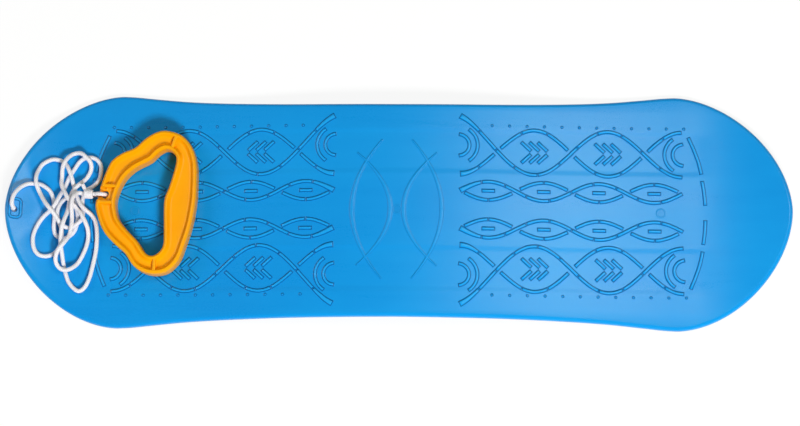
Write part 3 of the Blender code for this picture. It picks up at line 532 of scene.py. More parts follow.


# The third value of each profile darkens the colour: painted shade round the foot of each dot and
# the feet of the mark's ring, and a slightly darker disc inside the ring.
dot_profile = [(0.0, TREAD_HEIGHT * 0.9, 0.0), (DOT_RADIUS * 0.45, TREAD_HEIGHT * 0.83, 0.0),
               (DOT_RADIUS * 0.8, TREAD_HEIGHT * 0.5, 0.3), (DOT_RADIUS, 0.00005, 1.0),
               (DOT_RADIUS * 1.25, 0.00003, 0.5), (DOT_RADIUS * 1.5, 0.00001, 0.0),
               (DOT_RADIUS * 1.5, -0.0004, 0.0), (0.0, -0.0004, 0.0)]
mark_profile = [(0.0, 0.00008, 0.12), (0.0028, 0.00008, 0.12), (0.0033, 0.00006, 0.35),
                (0.0036, 0.00018, 0.0), (0.0041, 0.00018, 0.0), (0.0045, 0.00003, 0.25),
                (0.0050, 0.00001, 0.0), (0.0050, -0.0003, 0.0), (0.0, -0.0003, 0.0)]
for name, side_x in (("deck_tread_nose", -1), ("deck_tread_tail", 1)):
    tread_mesh = bmesh.new()
    for side_y in (-1, 1):
        for bar_line, bar_widths in quarter_tread():
            moulded_bar(tread_mesh, [(side_x * x, side_y * y) for x, y in bar_line], bar_widths)
        for number in range(DOT_COUNT):
            dot_x = side_x * (DOT_START + DOT_PITCH * number)
            turned_mark(tread_mesh, dot_x, side_y * DOT_ROW, dot_profile, 12)
    turned_mark(tread_mesh, side_x * MARK_REACH, MARK_Y, mark_profile, 32)
    tread = add_piece(name, tread_mesh, 60.0)
    tread.data.materials.append(blue_plastic)
    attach(tread, "board")


# The middle of the deck carries a soft low relief of long arcs, back to back, so that a boot that
# comes off the tread still finds some hold. It is part of the same moulding.

ARC_HEIGHT = 0.0006
ARC_WIDTHS = (0.0006, 0.0034)
# ARC_CONTRAST weakens the painted shade and painted highlight on the arcs.
ARC_CONTRAST = 0.3
MIDDLE_ARCS = [((-0.014, 0.064), (-0.041, 0.0), (-0.014, -0.064)),
               ((0.014, 0.064), (0.041, 0.0), (0.014, -0.064)),
               ((-0.036, 0.052), (-0.006, 0.0), (-0.036, -0.052)),
               ((0.036, 0.052), (0.006, 0.0), (0.036, -0.052))]
MIDDLE_MARK_X = 0.0004

middle_mesh = bmesh.new()
for start, bend, end in np.array(MIDDLE_ARCS):
    pull = 2 * bend - (start + end) / 2
    points = [(1 - s) ** 2 * start + 2 * s * (1 - s) * pull + s ** 2 * end
              for s in np.linspace(0.0, 1.0, 41)]
    moulded_bar(middle_mesh, points[:21], ARC_WIDTHS, ARC_HEIGHT, ARC_CONTRAST)
    moulded_bar(middle_mesh, points[20:], ARC_WIDTHS[::-1], ARC_HEIGHT, ARC_CONTRAST)
turned_mark(middle_mesh, MIDDLE_MARK_X, MARK_Y, mark_profile, 32)
middle_relief = add_piece("middle_relief", middle_mesh, 60.0)
middle_relief.data.materials.append(blue_plastic)
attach(middle_relief, "board")


# The cord hole is drilled through the tip of the nose, inside a small raised frame with round
# corners, which keeps the plastic from tearing when the board is pulled.

CORD_HOLE_RADIUS = 0.0031
CORD_HOLE = (-0.3503, -0.0008)
FRAME_X = -0.3492
FRAME_LENGTH = 0.019
FRAME_WIDTH = 0.0115
FRAME_CORNER = 0.0030
FRAME_HEIGHT = 0.0009
FRAME_BAR = 0.0016
FRAME_INSET = 0.0009
CORNER_POINTS = 7


def deck_frame_at(x, y):
    """The place of a point of the deck, with Z square to the deck."""
    step = 0.0005
    slope_x = (deck_height(x + step, y) - deck_height(x - step, y)) / (2 * step)
    slope_y = (deck_height(x, y + step) - deck_height(x, y - step)) / (2 * step)
    turn = Vector((-slope_x, -slope_y, 1.0)).to_track_quat("Z", "Y")
    return Matrix.Translation((x, y, deck_height(x, y))) @ turn.to_matrix().to_4x4()


def evaluated_mesh(source):
    """A new mesh of an object as its modifiers or its curve leave it."""
    bpy.context.view_layer.update()
    graph = bpy.context.evaluated_depsgraph_get()
    return bpy.data.meshes.new_from_object(source.evaluated_get(graph))


def cut_with(target, mesh, operation="DIFFERENCE"):
    """The shape after a Boolean with a bmesh, kept in the target's own mesh."""
    cutter = add_piece("cutter", mesh)
    cutter.hide_render = True
    cutter.hide_viewport = True
    step = target.modifiers.new("Cut", "BOOLEAN")
    step.operation = operation
    step.solver = "EXACT"
    step.object = cutter
    data = evaluated_mesh(target)
    target.modifiers.clear()
    old = target.data
    target.data = data
    bpy.data.meshes.remove(old)
    bpy.data.objects.remove(cutter, do_unlink=True)


def round_bar(radius, depth, segments, matrix):
    """A capped cylinder as a bmesh."""
    mesh = bmesh.new()
    bmesh.ops.create_cone(mesh, cap_ends=True, segments=segments, radius1=radius, radius2=radius,
                          depth=depth, matrix=matrix)
    return mesh


cut_with(board, round_bar(CORD_HOLE_RADIUS, WALL * 4, 32, deck_frame_at(*CORD_HOLE)))
# Under the deck the keels have their full depth. From above they are only faint channels.
for vertex in board.data.vertices:
    if deck_height(vertex.co.x, vertex.co.y) - vertex.co.z > WALL / 2:
        vertex.co.z -= (KEEL_DEPTH - CHANNEL_DEPTH) * keel_share(vertex.co.x, vertex.co.y)

half_x = FRAME_WIDTH / 2 - FRAME_CORNER - FRAME_INSET
half_y = FRAME_LENGTH / 2 - FRAME_CORNER - FRAME_INSET
frame_line = []
for corner, (sign_x, sign_y) in enumerate(((1, 1), (-1, 1), (-1, -1), (1, -1))):
    for number in range(CORNER_POINTS):
        turn = math.pi / 2 * corner + math.pi / 2 * number / (CORNER_POINTS - 1)
        frame_line.append((FRAME_X + sign_x * half_x + FRAME_CORNER * math.cos(turn),
                           sign_y * half_y + FRAME_CORNER * math.sin(turn)))
# Like the tread, the frame has painted shade at its foot and a painted highlight on its top.
frame_mesh = bmesh.new()
for low in range(0, len(frame_line), CORNER_POINTS):
    high = low + CORNER_POINTS
    side_line = frame_line[low:high] + [frame_line[high % len(frame_line)]]
    moulded_bar(frame_mesh, side_line, (FRAME_BAR, FRAME_BAR), FRAME_HEIGHT)
cord_frame = add_piece("cord_hole_frame", frame_mesh, 60.0)
cord_frame.data.materials.append(blue_plastic)
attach(cord_frame, "board")


# The tow cord is a white braid of twelve strands. It comes up through the hole in the nose, lies
# in loose loops on the deck and runs into the knot at the hand grip.

CORD_RADIUS = 0.0018
CORD_STEP = 0.0055
CORD_CLEARANCE = 0.00045
CORD_LIFT = 0.0006
CORD_SLOPE = 0.5
CORD_ROUNDING = 0.0030
LAYING_PASSES = 40
BRAID_PITCH = 0.0030
BRAID_STRANDS = 12
BRAID_CROSSING = 0.35
BRAID_RELIEF = 0.10
CORD_FULLNESS = 1.07
GAP = 0.0003
GRIP_HEIGHT = 0.018
GRIP_ORIGIN = (-0.2732, 0.0129)
GRIP_TURN = math.radians(-4.0)
GRIP_SEATS = (-0.257, -0.1805)
SEAT_GAP = 0.00045
LOOP_CENTRE = 0.0020
LOOP_RADIUS = 0.0048
KNOT_LENGTH = 0.0088
KNOT_WAIST = 2.0
CORD_ARCH = [
    (-0.3506, 0.0008, 0.0040), (-0.3508, 0.0035, 0.0072), (-0.3500, 0.0085, 0.0086),
    (-0.3475, 0.0140, 0.0070), (-0.3435, 0.0190, 0.0046), (-0.3380, 0.0225, 0.0028),
]
CORD_LOOPS = [
    (-0.329, 0.023), (-0.324, 0.021), (-0.319, 0.017), (-0.316, 0.011), (-0.315, 0.005),
    (-0.314, -0.002), (-0.314, -0.010), (-0.314, -0.018), (-0.312, -0.024), (-0.307, -0.027),
    (-0.302, -0.026), (-0.297, -0.022), (-0.294, -0.016), (-0.293, -0.008), (-0.294, -0.001),
    (-0.296, 0.006), (-0.300, 0.011), (-0.305, 0.010), (-0.309, 0.005), (-0.311, -0.003),
    (-0.310, -0.010), (-0.307, -0.018), (-0.306, -0.025), (-0.307, -0.033), (-0.310, -0.038),
    (-0.314, -0.042), (-0.320, -0.044), (-0.326, -0.043), (-0.330, -0.039), (-0.332, -0.033),
    (-0.332, -0.025), (-0.329, -0.016), (-0.324, -0.008), (-0.317, -0.002), (-0.312, 0.005),
    (-0.308, 0.015), (-0.305, 0.022), (-0.302, 0.030), (-0.297, 0.039), (-0.293, 0.045),
    (-0.288, 0.0485), (-0.282, 0.049), (-0.277, 0.047), (-0.2735, 0.042), (-0.273, 0.035),
    (-0.2745, 0.028), (-0.279, 0.0225), (-0.285, 0.0185), (-0.2885, 0.012), (-0.289, 0.005),
    (-0.288, -0.003), (-0.289, -0.010), (-0.294, -0.015), (-0.299, -0.018), (-0.305, -0.016),
    (-0.310, -0.010), (-0.315, -0.003), (-0.320, 0.003), (-0.326, 0.012), (-0.330, 0.021),
    (-0.331, 0.028), (-0.330, 0.035), (-0.326, 0.042), (-0.318, 0.0465), (-0.311, 0.046),
    (-0.306, 0.043), (-0.302, 0.037), (-0.299, 0.029), (-0.297, 0.021), (-0.294, 0.012),
    (-0.290, 0.004), (-0.285, -0.001), (-0.280, -0.005), (-0.277, -0.010), (-0.275, -0.018),
    (-0.2745, -0.027), (-0.275, -0.038), (-0.277, -0.050), (-0.280, -0.063), (-0.284, -0.072),
    (-0.289, -0.0755), (-0.294, -0.073), (-0.299, -0.067), (-0.302, -0.059), (-0.304, -0.051),
    (-0.305, -0.041), (-0.306, -0.032), (-0.3055, -0.021), (-0.3035, -0.012), (-0.3015, -0.004),
    (-0.3005, 0.004), (-0.2990, 0.012), (-0.2955, 0.019), (-0.290, 0.025), (-0.285, 0.031),
    (-0.282, 0.038), (-0.2825, 0.044), (-0.287, 0.049), (-0.292, 0.0525), (-0.299, 0.0515),
    (-0.304, 0.046), (-0.307, 0.039), (-0.308, 0.030), (-0.308, 0.023), (-0.305, 0.016),
    (-0.300, 0.008), (-0.294, 0.001), (-0.289, -0.005), (-0.285, -0.012), (-0.2825, -0.020),
    (-0.283, -0.030), (-0.286, -0.040), (-0.291, -0.0495), (-0.297, -0.0555), (-0.3025, -0.057),
    (-0.3075, -0.0545), (-0.310, -0.0485), (-0.308, -0.041), (-0.303, -0.034), (-0.299, -0.027),
    (-0.2970, -0.019), (-0.2965, -0.011), (-0.2967, -0.003), (-0.2966, 0.004),
    (-0.2955, 0.0095),
]


def grip_frame():
    """The grip lies on the tread, so it tips up a little towards the middle of the board."""
    near_x, far_x = GRIP_SEATS
    near = deck_height(near_x, 0.0)
    slope = (deck_height(far_x, 0.0) - near) / (far_x - near_x)
    seat = near + slope * (GRIP_ORIGIN[0] - near_x) + TREAD_HEIGHT + SEAT_GAP
    return (Matrix.Translation((*GRIP_ORIGIN, seat + GRIP_HEIGHT / 2))
            @ Matrix.Rotation(GRIP_TURN, 4, "Z") @ Matrix.Rotation(-math.atan(slope), 4, "Y"))


def resample(points, step):
    """Points about step apart along a polyline, its two ends kept."""
    along = lengths_along(points)
    wanted = np.linspace(0.0, along[-1], int(round(along[-1] / step)) + 1)
    return places_along(points, along, wanted)


def nose_knot_top():
    """The upper end of the stopper knot, which hangs upright under the sloping deck."""
    hole = deck_frame_at(*CORD_HOLE)
    up = hole.to_3x3() @ Vector((0.0, 0.0, 1.0))
    clear = CORD_RADIUS * KNOT_WAIST * up.x / up.z + GAP
    return hole @ Vector((0.0, 0.0, -WALL)) - Vector((0.0, 0.0, clear))


def cord_route():
    """The cord's plan, with the least height of its middle over the deck at each point."""
    hole = deck_frame_at(*CORD_HOLE)
    top = nose_knot_top() + Vector((0.0, 0.0, GAP))
    route = [top] + [hole @ Vector((0.0, 0.0, reach)) for reach in (-WALL / 2, 0.0, 0.0015)]
    route = [(place.x, place.y, place.z - deck_height(place.x, place.y)) for place in route]
    route += CORD_ARCH
    for x, y in CORD_LOOPS:
        upright = (deck_frame_at(x, y).to_3x3() @ Vector((0.0, 0.0, 1.0))).z
        on_tread = smooth_step(x, -END_BAR_REACH - 0.012, -END_BAR_REACH - 0.003)
        route.append((x, y, (CORD_RADIUS + CORD_CLEARANCE) / upright + TREAD_HEIGHT * on_tread))
    knot_end = LOOP_CENTRE - LOOP_RADIUS - 5 * GAP - CORD_RADIUS - KNOT_LENGTH
    for back in (0.0045, 0.0):
        place = grip_frame() @ Vector((knot_end - back, 0.0, 0.0))
        route.append((place.x, place.y, place.z - deck_height(place.x, place.y)))
    return route


def lay_cord():
    """Lay the cord from its hole to the grip: each pass lies over what is already there."""
    fine = resample(catmull_rom(cord_route(), 8, False), CORD_STEP / 4)
    plan, least = fine[:, :2], fine[:, 2]
    count = len(plan)
    step = np.linalg.norm(np.diff(plan, axis=0), axis=1).mean()
    apart = np.linalg.norm(plan[:, None] - plan[None], axis=2)
    order = np.arange(count)
    pitch = 2 * CORD_RADIUS + CORD_CLEARANCE + CORD_LIFT
    under = (order[:, None] - order[None] > 4 * CORD_RADIUS / step * 1.5) & (apart < pitch)
    need = np.sqrt(np.maximum(pitch ** 2 - apart ** 2, 0.0))
    window = int(round(CORD_ROUNDING / step))
    height = least.copy()
    for _ in range(LAYING_PASSES):
        raised = np.maximum(least, np.where(under, height[None] + need, -1.0).max(axis=1))
        for walk in (range(1, count), range(count - 2, -1, -1)):
            behind = 1 if walk.step < 0 else -1
            for i in walk:
                raised[i] = max(raised[i], raised[i + behind] - CORD_SLOPE * step)
        spans = [slice(max(i - window, 0), i + window + 1) for i in range(count)]
        wide = np.array([raised[span].max() for span in spans])
        rounded = np.array([wide[span].mean() for span in spans])
        share = np.clip(np.minimum(order, order[::-1]) / (3.0 * window) - 0.4, 0.0, 1.0)
        height = raised * (1 - share) + rounded * share
    deck = np.array([deck_height(x, y) for x, y in plan])
    return np.column_stack([plan, deck + height])


def braided_tube(name, points, radius, sides=36, step=0.0005):
    """A tube with a braid's relief. A UV map holds its turns and its metres for the material."""
    line = resample(np.array([tuple(point) for point in points]), step)
    data = bpy.data.curves.new(name, "CURVE")
    data.dimensions = "3D"
    data.bevel_depth = radius
    data.bevel_resolution = sides // 4 - 1
    data.use_fill_caps = True
    data.twist_mode = "MINIMUM"
    spline = data.splines.new("POLY")
    spline.points.add(len(line) - 1)
    for point, place in zip(spline.points, line):
        point.co = (*place, 1.0)
    source = bpy.data.objects.new(name + "_line", data)
    bpy.context.scene.collection.objects.link(source)
    tube = evaluated_mesh(source)
    bpy.data.objects.remove(source, do_unlink=True)
    mesh = bmesh.new()
    mesh.from_mesh(tube)
    bpy.data.meshes.remove(tube)
    bmesh.ops.remove_doubles(mesh, verts=mesh.verts[:], dist=0.00001)
    braid = mesh.loops.layers.uv.new("braid")
    mesh.verts.ensure_lookup_table()
    per_ring = len(mesh.verts) // len(line)
    for vertex in mesh.verts:
        ring, side = divmod(vertex.index, per_ring)
        around = math.pi * BRAID_STRANDS * side / per_ring
        along = 2 * math.pi * ring * step / BRAID_PITCH
        over = BRAID_CROSSING * math.cos(around)
        height = max(0.5 * math.cos(around + along) + over, 0.5 * math.cos(around - along) - over)
        centre = Vector(line[ring])
        vertex.co = centre + (vertex.co - centre) * (1 + BRAID_RELIEF * (height - 0.5))
    for face in mesh.faces:
        turns = [loop.vert.index % per_ring for loop in face.loops]
        seam = max(turns) - min(turns) > 1
        for loop, turn in zip(face.loops, turns):
            around = (turn + per_ring if seam and turn == 0 else turn) / per_ring
            loop[braid].uv = (around, loop.vert.index // per_ring * step)
    bmesh.ops.recalc_face_normals(mesh, faces=mesh.faces[:])
    return add_piece(name, mesh, 70.0)


def cord_fibre():
    """White polypropylene braid: bright strands, painted grey shade between them, and a fine
    fibrous nap.
    """
    material, wires, shader = new_material("white_cord")
    turns = wires.make("ShaderNodeUVMap", {"uv_map": "braid"})
    around = wires.make("ShaderNodeSeparateXYZ", sockets={0: turns}, output="X")
    along = wires.make("ShaderNodeSeparateXYZ", sockets={0: turns}, output="Y")
    around = around * (math.pi * BRAID_STRANDS)
    along = along * (2 * math.pi / BRAID_PITCH)
    over = wires.maths("COSINE", around) * BRAID_CROSSING
    left = wires.maths("COSINE", around + along) * 0.5 + over
    right = wires.maths("COSINE", around - along) * 0.5 - over
    height = wires.maths("MAXIMUM", left, right)
    place = wires.make("ShaderNodeTexCoord", output="Object")
    fibres = wires.noise(place, 3200.0, 3.0, 0.7)
    soil = wires.noise(place, 55.0, 3.0, 0.6)
    # The braid's height paints shade into the hollows between strands; the fibres and the soil add
    # the cord's own tone.
    painted_shade_and_soil = wires.make("ShaderNodeMapRange", sockets={
        "Value": height * 0.8 + fibres * 0.3 + soil * 0.2, "From Min": -0.05, "From Max": 0.60})
    colour = wires.mix(painted_shade_and_soil, (0.62, 0.60, 0.68, 1.0), (0.96, 0.94, 0.98, 1.0))
    relief = wires.make("ShaderNodeBump", sockets={
        "Height": height * 0.5 + fibres * 0.4, "Distance": 0.0002, "Strength": 0.8})
    rough = wires.make("ShaderNodeMapRange", sockets={
        "Value": fibres, "To Min": 0.62, "To Max": 0.82})
    wire_shader(shader, colour, rough, relief)
    shader.inputs["Sheen Weight"].default_value = 0.25
    return material


white_cord = cord_fibre()
cord_line = lay_cord()
tow_cord = braided_tube("tow_cord_braid", cord_line, CORD_RADIUS * CORD_FULLNESS)
tow_cord.data.materials.append(white_cord)
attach(tow_cord, "board")
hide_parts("tow_cord")


# The two knots are the same cord, wound three times round itself and pulled tight. One stops the
# cord under the nose. The other closes the loop through the grip's eye, and shows its cut tail.

KNOT_TURNS = 3.5
KNOT_OUTER = 2.3
KNOT_STRAND = 0.72
WINDING_FULLNESS = 0.90
TAIL_FULLNESS = 0.97
TAIL_LENGTH = 0.0085
LOOP_FULLNESS = 1.05


def wound_knot(name, place, node, tail_to=None):
    """A barrel of close turns round a core, and a cut tail if it has a direction."""
    middle = CORD_RADIUS * (KNOT_OUTER - KNOT_STRAND)
    thin = CORD_RADIUS * KNOT_STRAND
    inner = KNOT_LENGTH - 2 * thin
    points = []
    for share in np.linspace(0.0, 1.0, 90):
        turn = 2 * math.pi * KNOT_TURNS * share
        points.append(place @ Vector((thin + inner * share, middle * math.cos(turn),
                                      middle * math.sin(turn))))
    winding = braided_tube(name, points, CORD_RADIUS * WINDING_FULLNESS)
    lying = Matrix.Translation((KNOT_LENGTH / 2, 0, 0)) @ Matrix.Rotation(math.pi / 2, 4, "Y")
    pieces = [winding, add_piece(name + "_core", round_bar(middle, inner, 20, place @ lying))]
    if tail_to is not None:
        start = Vector((KNOT_LENGTH * 0.25, 0.0015, 0.0))
        line = [place @ (start + tail_to.normalized() * reach)
                for reach in np.linspace(0.0, TAIL_LENGTH, 8)]
        pieces.append(braided_tube(name + "_tail", line, CORD_RADIUS * TAIL_FULLNESS))
    for piece in pieces:
        piece.data.materials.append(white_cord)
        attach(piece, "board")
    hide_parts(node)
    return pieces


knot_face = LOOP_CENTRE - LOOP_RADIUS - GAP - CORD_RADIUS
under_nose = Matrix.Translation(nose_knot_top()) @ Matrix.Rotation(math.pi / 2, 4, "Y")
at_grip = grip_frame() @ Matrix.Translation((knot_face - KNOT_LENGTH, 0.0, 0.0))
knots = wound_knot("nose_knot_winding", under_nose, "nose_knot")
knots += wound_knot("grip_knot_winding", at_grip, "grip_knot", Vector((-0.0045, 0.0075, 0.0022)))

opening = math.asin((CORD_RADIUS + GAP) / LOOP_RADIUS)
loop_end = LOOP_CENTRE - LOOP_RADIUS - CORD_RADIUS
loop_plan = [(LOOP_CENTRE + LOOP_RADIUS * math.cos(turn), LOOP_RADIUS * math.sin(turn))
             for turn in np.linspace(math.pi - opening, -math.pi + opening, 48)]
loop_plan = [(loop_end, LOOP_RADIUS * math.sin(opening)), *loop_plan,
             (loop_end, -LOOP_RADIUS * math.sin(opening))]
loop_line = [grip_frame() @ Vector((x, 0.0, z)) for x, z in loop_plan]
grip_loop = braided_tube("grip_loop_braid", loop_line, CORD_RADIUS * LOOP_FULLNESS)
grip_loop.data.materials.append(white_cord)
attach(grip_loop, "board")
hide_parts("grip_loop")
hole_place = deck_frame_at(*CORD_HOLE).translation


# The hand grip is an orange moulding of H section: two walls and a web, with thin ribs across it
# and a thick eye for the cord. Its rims are rounded so that they don't cut the hand.

GRIP_RIB = 0.0030
RIB_FOOT = 0.0008
RIB_TOP = 0.0004
RIB_ROUND = 0.0009
EYE_RADIUS = 0.0036
EYE_CENTRE = 0.0067
EYE_PLATE = 0.0040
EYE_HALF_GAP = 0.0062
PLATE_START = 0.0012
PLATE_END = 0.0160
PLATE_LAP = 0.001
NOTCH_REACH = 0.006
NOTCH_RISE = 0.004
GRIP_MIDDLE = (0.0450, -0.0040)
GRIP_STATIONS = 220
GRIP_OUTLINE = [
    (0.0004, -0.0030), (-0.0006, -0.0122), (0.0044, -0.0261), (0.0110, -0.0368), (0.0212, -0.0462),
    (0.0311, -0.0538), (0.0395, -0.0642), (0.0501, -0.0699), (0.0612, -0.0709), (0.0718, -0.0673),
    (0.0807, -0.0565), (0.0855, -0.0400), (0.0892, -0.0226), (0.0909, -0.0021), (0.0904, 0.0138),
    (0.0882, 0.0342), (0.0821, 0.0497), (0.0719, 0.0593), (0.0582, 0.0626), (0.0487, 0.0605),
    (0.0392, 0.0541), (0.0305, 0.0450), (0.0191, 0.0390), (0.0102, 0.0313), (0.0058, 0.0206),
    (0.0026, 0.0080),
]
GRIP_HOLE = [
    (0.0175, -0.0075), (0.0212, -0.0207), (0.0296, -0.0308), (0.0408, -0.0410), (0.0492, -0.0515),
    (0.0558, -0.0542), (0.0619, -0.0506), (0.0652, -0.0430), (0.0642, -0.0282), (0.0625, -0.0116),
    (0.0623, -0.0004), (0.0656, 0.0119), (0.0690, 0.0294), (0.0686, 0.0394), (0.0604, 0.0453),
    (0.0525, 0.0414), (0.0459, 0.0339), (0.0325, 0.0254), (0.0238, 0.0159), (0.0187, 0.0033),
]
RIM_SECTION = [(0.0, 0.0), (0.0, 0.0052), (0.00012, 0.0064), (0.00045, 0.0074),
               (0.00095, 0.0081), (0.00155, 0.0086), (0.00215, 0.0089), (0.00265, 0.0090),
               (0.00315, 0.0088), (0.00365, 0.0083), (0.00410, 0.0075), (0.00455, 0.0066),
               (0.00505, 0.0058), (0.00570, 0.0052), (0.00650, 0.0048), (0.00740, 0.0046)]
UNDER_SECTION = [(0.0, -0.0052), (0.00012, -0.0064), (0.00045, -0.0074), (0.00095, -0.0081),
                 (0.00140, -0.0085), (0.00185, -0.0083), (0.00215, -0.0076), (0.00240, 0.0004),
                 (0.00270, 0.0014), (0.00340, 0.0021), (0.00440, 0.0022)]


def offset_loop(points, distance):
    """A closed anticlockwise outline moved outwards."""
    along = np.roll(points, -1, axis=0) - np.roll(points, 1, axis=0)
    along /= np.linalg.norm(along, axis=1)[:, None]
    return points + np.stack([along[:, 1], -along[:, 0]], axis=1) * distance


def reach_at(points, turns):
    """How far an outline lies from the middle of the grip, at each turn round it."""
    away = points - np.array(GRIP_MIDDLE)
    angle = np.arctan2(away[:, 1], away[:, 0])
    order = np.argsort(angle)
    return np.interp(turns, angle[order], np.linalg.norm(away, axis=1)[order], period=2 * math.pi)


def make_grip_ring():
    """The H section carried round the ring."""
    outer = catmull_rom(GRIP_OUTLINE, 8, True)
    hole = catmull_rom(GRIP_HOLE, 8, True)
    rows = [(outer, -inset, z) for inset, z in RIM_SECTION]
    rows += [(hole, inset, z) for inset, z in RIM_SECTION[::-1]]
    rows += [(hole, inset, z) for inset, z in UNDER_SECTION]
    rows += [(outer, -inset, z) for inset, z in UNDER_SECTION[::-1]]
    turns = np.linspace(-math.pi, math.pi, GRIP_STATIONS, endpoint=False)
    reaches = [reach_at(offset_loop(base, inset), turns) for base, inset, z in rows]
    mesh = bmesh.new()
    bmesh.ops.create_grid(mesh, x_segments=GRIP_STATIONS, y_segments=len(rows), size=1.0)
    for vertex in mesh.verts:
        station = round((vertex.co.x + 1) / 2 * GRIP_STATIONS) % GRIP_STATIONS
        row = round((vertex.co.y + 1) / 2 * len(rows)) % len(rows)
        reach = reaches[row][station]
        vertex.co = (GRIP_MIDDLE[0] + reach * math.cos(turns[station]),
                     GRIP_MIDDLE[1] + reach * math.sin(turns[station]), rows[row][2])
    bmesh.ops.remove_doubles(mesh, verts=mesh.verts[:], dist=0.000001)
    bmesh.ops.recalc_face_normals(mesh, faces=mesh.faces[:])
    return mesh


def rounded_box(low, high, turn=0.0, at=(0.0, 0.0, 0.0), rounding=0.0004):
    """A box with rounded edges, turned about Z and then moved."""
    mesh = bmesh.new()
    middle = [(a + b) / 2 for a, b in zip(low, high)]
    size = [b - a for a, b in zip(low, high)]
    bmesh.ops.create_cube(mesh, size=1.0,
                          matrix=Matrix.Translation(middle) @ Matrix.Diagonal((*size, 1.0)))
    bmesh.ops.bevel(mesh, geom=mesh.edges[:], offset=rounding, offset_type="OFFSET",
                    affect="EDGES", segments=3, profile=0.5, material=-1)
    moved = Matrix.Translation(at) @ Matrix.Rotation(turn, 4, "Z")
    bmesh.ops.transform(mesh, verts=mesh.verts[:], matrix=moved)
    return mesh


hand_grip = add_piece("hand_grip_moulding", make_grip_ring(), 50.0)
half = GRIP_HEIGHT / 2
eye_rib = EYE_HALF_GAP + GRIP_RIB / 2
rib_lines = [((0.0592, -0.0693), (0.0588, -0.0548)), ((0.0648, 0.0468), (0.0678, 0.0602)),
             ((0.0022, -eye_rib), (0.0160, -eye_rib)), ((0.0042, eye_rib), (0.0172, eye_rib))]
for start, end in rib_lines:
    run = Vector(end) - Vector(start)
    rib = rounded_box((0.0, -GRIP_RIB / 2, -half + RIB_FOOT),
                      (run.length, GRIP_RIB / 2, half - RIB_TOP),
                      math.atan2(run.y, run.x), (*start, 0.0), RIB_ROUND)
    cut_with(hand_grip, rib, "UNION")
plate = rounded_box((PLATE_START, -EYE_HALF_GAP - PLATE_LAP, -EYE_PLATE / 2),
                    (PLATE_END, EYE_HALF_GAP + PLATE_LAP, EYE_PLATE / 2))
cut_with(hand_grip, plate, "UNION")
for side in (-1, 1):
    low, high = sorted((side * EYE_PLATE / 2, side * (half + NOTCH_RISE)))
    notch = rounded_box((-NOTCH_REACH, -EYE_HALF_GAP, low),
                        (LOOP_CENTRE + NOTCH_REACH, EYE_HALF_GAP, high))
    cut_with(hand_grip, notch)
at_eye = Matrix.Translation((EYE_CENTRE, 0.0, 0.0))
cut_with(hand_grip, round_bar(EYE_RADIUS, GRIP_HEIGHT, 40, at_eye))
hand_grip.data.transform(grip_frame())
hand_grip.data.polygons.foreach_set("use_smooth", [True] * len(hand_grip.data.polygons))
hand_grip.data.set_sharp_from_angle(angle=math.radians(38.0))
hand_grip.data.materials.clear()
# The third colour is the painted shade and the fourth the painted highlight; the grip carries no
# marks that call for them.
orange_plastic = moulded_plastic(
    "orange_plastic", (1.0, 0.420, 0.001, 1.0), (0.98, 0.375, 0.001, 1.0),
    (0.6, 0.15, 0.001, 1.0), (1.0, 0.56, 0.02, 1.0), 0.36, 0.30, specular=0.28)
hand_grip.data.materials.append(orange_plastic)
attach(hand_grip, "grip")
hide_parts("hand_grip")


# The studio: a white floor under a camera nearly overhead. The key lamp stands at the front right,
# a tinted lamp high on the right lays the sheen on the tail, and a weak lamp fills from the left.

CAMERA_PLACE = (0.06355, -0.40072, 1.98673)
CAMERA_RIGHT = (0.99953816, 0.00986255, -0.02874369)
CAMERA_UP = (-0.00398263, 0.98022568, 0.19784275)
CAMERA_BACK = (0.03012654, -0.1976369, 0.97981225)
CAMERA_LENS = 99.45
FLOOR_DROP = 0.0003
FLOOR_GLOW = 1.03
FLOOR_GLOW_SHARE = 0.85
SKY = 0.11

camera_data = bpy.data.cameras.new("camera")
camera_data.lens = CAMERA_LENS
camera_data.sensor_width = 36.0
camera = bpy.data.objects.new("camera", camera_data)
bpy.context.scene.collection.objects.link(camera)
turned = Matrix((CAMERA_RIGHT, CAMERA_UP, CAMERA_BACK)).transposed().to_4x4()
camera.matrix_world = Matrix.Translation(CAMERA_PLACE) @ turned
bpy.context.scene.camera = camera

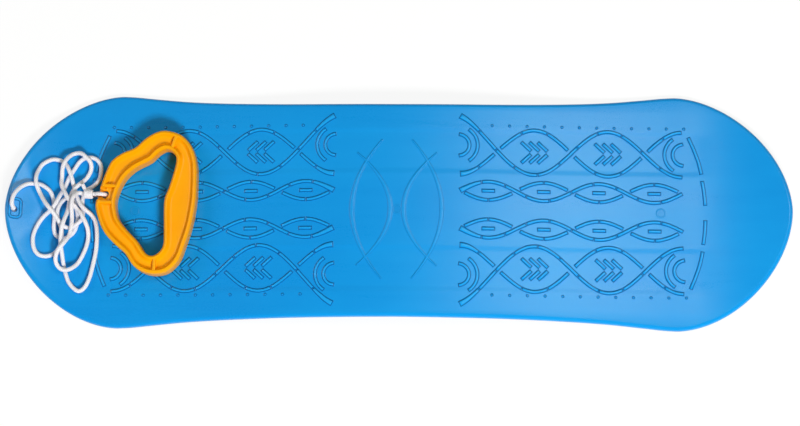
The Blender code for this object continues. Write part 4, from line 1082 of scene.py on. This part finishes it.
floor_mesh = bmesh.new()
bmesh.ops.create_grid(floor_mesh, x_segments=1, y_segments=1, size=6.0)
bmesh.ops.translate(floor_mesh, verts=floor_mesh.verts[:], vec=(0.0, 0.0, -FLOOR_DROP))
floor = add_piece("floor", floor_mesh)
floor_material, floor_wires, floor_shader = new_material("white_floor")
floor_shader.inputs["Base Color"].default_value = (0.92, 0.92, 0.92, 1.0)
floor_shader.inputs["Roughness"].default_value = 0.9
seen = (floor_wires.make("ShaderNodeLightPath", output="Is Camera Ray")
        + floor_wires.make("ShaderNodeLightPath", output="Is Glossy Ray"))
glow = floor_wires.make("ShaderNodeEmission", sockets={
    "Color": (1.0, 1.0, 1.0, 1.0), "Strength": FLOOR_GLOW})
plain = Wire(floor_wires.tree, floor_shader.outputs[0])
mixed = floor_wires.make("ShaderNodeMixShader", sockets={
    0: seen * FLOOR_GLOW_SHARE, 1: plain, 2: glow})
output = floor_material.node_tree.nodes["Material Output"]
floor_wires.tree.links.new(mixed.socket, output.inputs["Surface"])
floor.data.materials.append(floor_material)


def add_lamp(name, place, aim, size, power, colour=(1.0, 1.0, 1.0)):
    """A soft lamp that faces a point."""
    data = bpy.data.lights.new(name, "AREA")
    data.shape = "RECTANGLE"
    data.size, data.size_y = size
    data.energy = power
    data.color = colour
    lamp = bpy.data.objects.new(name, data)
    bpy.context.scene.collection.objects.link(lamp)
    lamp.location = place
    lamp.rotation_mode = "QUATERNION"
    lamp.rotation_quaternion = (Vector(aim) - Vector(place)).to_track_quat("-Z", "Y")
    return lamp


key_lamp = add_lamp("key_lamp", (0.50, -1.50, 1.60), (0.0, 0.0, 0.0), (0.45, 0.45), 44.5)
key_lamp.visible_glossy = False
add_lamp("sheen_lamp", (0.80, 0.42, 1.9), (0.15, 0.0, 0.0), (0.60, 0.8), 9.5, (0.94, 1.0, 0.80))
add_lamp("fill_lamp", (-1.5, 0.5, 1.3), (0.0, 0.0, 0.0), (0.9, 0.9), 7.0)

world = bpy.data.worlds.new("studio")
bpy.context.scene.world = world
world.use_nodes = True
seen_sky = Wire(world.node_tree).make("ShaderNodeLightPath", output="Is Camera Ray")
background = world.node_tree.nodes["Background"]
background.inputs["Color"].default_value = (1.0, 1.0, 1.0, 1.0)
strength = SKY + seen_sky * (1 - SKY)
world.node_tree.links.new(strength.socket, background.inputs["Strength"])
bpy.context.scene.view_settings.view_transform = "Standard"
